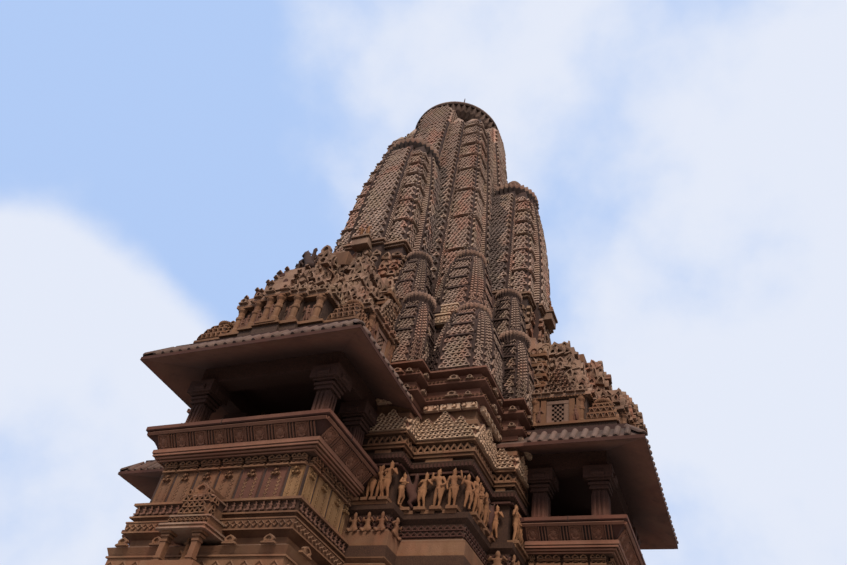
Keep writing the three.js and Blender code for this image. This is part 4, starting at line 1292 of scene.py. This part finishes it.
# turrets on the outer corners: an arcade under thin slabs and a ribbed cap
turret = {"x": 1.8, "out": 6.52, "cap": 8.76,
          "arcade": ((.35, 8.09, .16), (.29, 8.31, .12), (.22, 8.49, .1)),
          "bands": ((8.05, .37, .04), (8.255, .36, .05), (8.44, .31, .045), (8.6, .23, .045))}
turretBands, turretArcade, turretCaps = [], [], []
for x in (-turret["x"], turret["x"]):
    for z, half, tall in turret["bands"]:
        turretBands.append(spot((x, half - turret["out"], z), (2 * half, 2 * half, tall)))
    for half, z, tall in turret["arcade"]:
        faces = boxFaces(half, turret["out"] + half, turret["out"] - half, x)
        turretArcade += pitchRows(faces, z, .14, (.14, .07, tall))
    turretCaps.append(spot((x, -turret["out"], turret["cap"]), (.2, .2, .14)))
carved("turret_bands", "warmStone", (slab, turretBands), (curl, turretArcade), (smallShape, turretCaps))

# under the half spire: a ledge with crests, figures on the bracket, and carved courses down to the roof
# slabs: height, how much longer than the face, depth and rise
halfLedge = {"z": 13.5, "edges": (10, 12, 13, 15, 17, 18, 0), "pitch": .2,
             "crest": (13.505, (.15, .13, .09)),
             "slabs": ((13.44, .2, .14, .07), (13.36, .1, .08, .05)),
             "bracket": (((0, -4.3, 13.48), (.62, .52, .06)), ((0, -4.3, 13.56), (.5, .44, .05)),
                         ((0, -4.29, 13.19), (.56, .47, .27))),
             "figures": (((-.12, -4.66, 13.61), .5), ((.13, -4.66, 13.61), .47)),
             "courses": (11.6, 11.85, 12.1, 12.35, 12.6, 12.85)}
ledge, hood = [], []
for edge in halfLedge["edges"]:
    (x, y, _), across, _, width = onSpire(halfSpire, edge, .5, halfLedge["z"])
    for z, longer, deep, tall in halfLedge["slabs"]:
        ledge.append(spot((x, y, z), (width + longer, deep, tall), across))
    z, size = halfLedge["crest"]
    for share in even(max(1, round(width / halfLedge["pitch"]))):
        (x, y, _), across, _, _ = onSpire(halfSpire, edge, share, halfLedge["z"])
        hood.append(spot((x, y, z), size, across))
    here = outlineAt(halfSpire, 12.4)
    for z in halfLedge["courses"]:
        scatterOn((tuple(here[edge]), tuple(here[(edge + 1) % len(here)])), z, .26, .24, courses)
bracketSlabs = [spot(at, size) for at, size in halfLedge["bracket"]]
leftFigure, rightFigure = ([spot(at, size)] for at, size in halfLedge["figures"])
carved("half_spire_foot", "carvedStone", (slab, ledge + bracketSlabs), (crest, hood),
       *[(kinds[kind], courses[kind]) for kind in kinds])
carved("bracket_figures", "figureStone", (figures[0], leftFigure), (figures[2], rightFigure), soft=True)
print("arm roofs dressed")

# niche shrines: mesh on the body, mouldings, and a small figure between the posts
shrine = {
    "slabs": ((-6.6, 3.165, 1.1, .68, .03), (-6.6, 3.24, 1.08, .67, .035), (-6.6, 3.44, .96, .56, .035),
              (-6.6, 3.85, .68, .52, .03)),
    "peaks": (((0, -7.02, 3.87), (.46, .1, .26)), ((-.22, -7.04, 3.86), (.16, .1, .14)),
              ((.22, -7.04, 3.86), (.16, .1, .14))),
    "posts": ((2.6, .17), (2.68, .15), (2.98, .15), (3.06, .18), (3.12, .22))}
left, front, right = boxFaces(.31, 7.09, 6.9)
shrineMesh = meshOn(front, 3.5, 3, 5, .06, .12)
for face in (left, right):
    shrineMesh += meshOn(face, 3.5, 3, 2, .05, .12)
for z in (3.28, 3.36):
    shrineMesh += pitchRows([((-.455, -7.13), (.455, -7.13))], z, .1, (.08, .04, .07))
shrinePosts = [spot((x, -7.1 + wide / 2, z), (wide, wide, .045))
               for x in (-.35, .35) for z, wide in shrine["posts"]]
shrinePeaks = [spot(at, size) for at, size in shrine["peaks"]]
shrineSlabs = [spot((0, y, z), size) for y, z, *size in shrine["slabs"]]
carved("shrine_carving", "warmStone", (arch, shrineMesh), (slab, shrinePosts), (crest, shrinePeaks),
       sides=balconySides)
carved("shrine_slabs", "carvedStone", (slab, shrineSlabs), sides=balconySides)
carved("shrine_figures", "figureStone", (dwarf, [spot((0, -6.86, 2.6), (.3, .3, .46))]), sides=balconySides,
       soft=True)
print("shrines dressed")

# finishes of the frame's own nodes, by the start of their names; the spires' cores take the dark stone as
# painted shade behind their mesh
nodeFinish = {
    "plinth": "baseStone", "hall_floor": "paintedShadeStone", "corner_wall": "wallStone",
    "cornice_course": "redStone", "balcony_base": "baseStone", "balcony_rail": "shadowStone",
    "porch": "warmStone", "colonnade": "porchStone", "eave": "eaveStone", "arm_roof": "roofStone",
    "half_spire": "darkAndShadeStone", "flank_spirelets": "darkAndShadeStone", "corner_spirelets": "darkAndShadeStone",
    "main_spire": "darkAndShadeStone", "crown": "crownStone", "finial": "darkAndShadeStone"}
for name, node in nodes.items():
    finish = next(value for key, value in nodeFinish.items() if name.startswith(key))
    node.data.materials.clear()
    node.data.materials.append(stone[finish])
print("nodes finished")

# camera, light and stage
camera = {"place": (9.03, -16.38, -1.31), "turn": 29.49, "rise": 42.81, "roll": 11.5, "lens": 29.07}
light = {"rise": 48, "turn": 28, "softness": 18, "strength": 3.0, "tint": (1, .95, .88)}
sky = {"ground": (.2, .19, .18, 1), "clear": (.44, .6, .92, 1), "cloud": (.78, .83, .95, 1),
       "bank": (-.793, .475, .381)}
floor = {"radius": 13.4, "thick": .1, "tone": (.62, .6, .57, 1)}


def aim(view):
    turn, rise, roll = (math.radians(view[key]) for key in ("turn", "rise", "roll"))
    ahead = Vector((-math.sin(turn) * math.cos(rise), math.cos(turn) * math.cos(rise), math.sin(rise)))
    level = Vector((math.cos(turn), math.sin(turn), 0))
    upright = level.cross(ahead)
    right = level * math.cos(roll) + upright * math.sin(roll)
    up = upright * math.cos(roll) - level * math.sin(roll)
    return Matrix((right, up, -ahead)).transposed().to_4x4()


eye = placed("camera", bpy.data.cameras.new("camera"))
eye.data.sensor_width = 36
eye.data.lens = camera["lens"]
eye.data.clip_end = 500
eye.matrix_world = Matrix.Translation(camera["place"]) @ aim(camera)
bpy.context.scene.camera = eye
bpy.context.scene.view_settings.view_transform = "Standard"

sun = placed("sun", bpy.data.lights.new("sun", "SUN"))
sun.data.energy = light["strength"]
sun.data.angle = math.radians(light["softness"])
sun.data.color = light["tint"]
sun.rotation_euler = (math.radians(90 - light["rise"]), 0, math.radians(light["turn"]))

world = bpy.data.worlds.new("paleSky")
bpy.context.scene.world = world
world.use_nodes = True
air = Maker(world.node_tree)
way = air.node("TexCoord")
east, up = (air.node("SeparateXYZ", None, {0: way}, out=axis) for axis in (0, 2))
clouds = air.node("TexNoise", None, {"Vector": way, "Scale": 2.6, "Detail": 7})
bank = air.node("VectorMath", {"operation": "DOT_PRODUCT"}, {0: way, 1: sky["bank"]}, out=1)
cover = clouds + east * .3 + bank.between(.955, .985) * .34
veil = air.mix(cover.between(.3, .54), sky["clear"], sky["cloud"])
plug(air.tree.nodes["Background"].inputs["Color"], air.mix(up.between(-.1, .12), sky["ground"], veil))

bm = bmesh.new()
bmesh.ops.create_cone(bm, cap_ends=True, segments=96, radius1=floor["radius"], radius2=floor["radius"],
                      depth=floor["thick"])
bmesh.ops.translate(bm, vec=(0, 0, -floor["thick"] / 2 - .002), verts=bm.verts)
mesh = bpy.data.meshes.new("floor")
bm.to_mesh(mesh)
bm.free()
paleFloor = Finish("paleFloor")
plug(paleFloor.slots["Base Color"], floor["tone"])
plug(paleFloor.slots["Roughness"], .9)
mesh.materials.append(paleFloor.material)
stage = placed("floor", mesh)
print("camera, light and stage set")
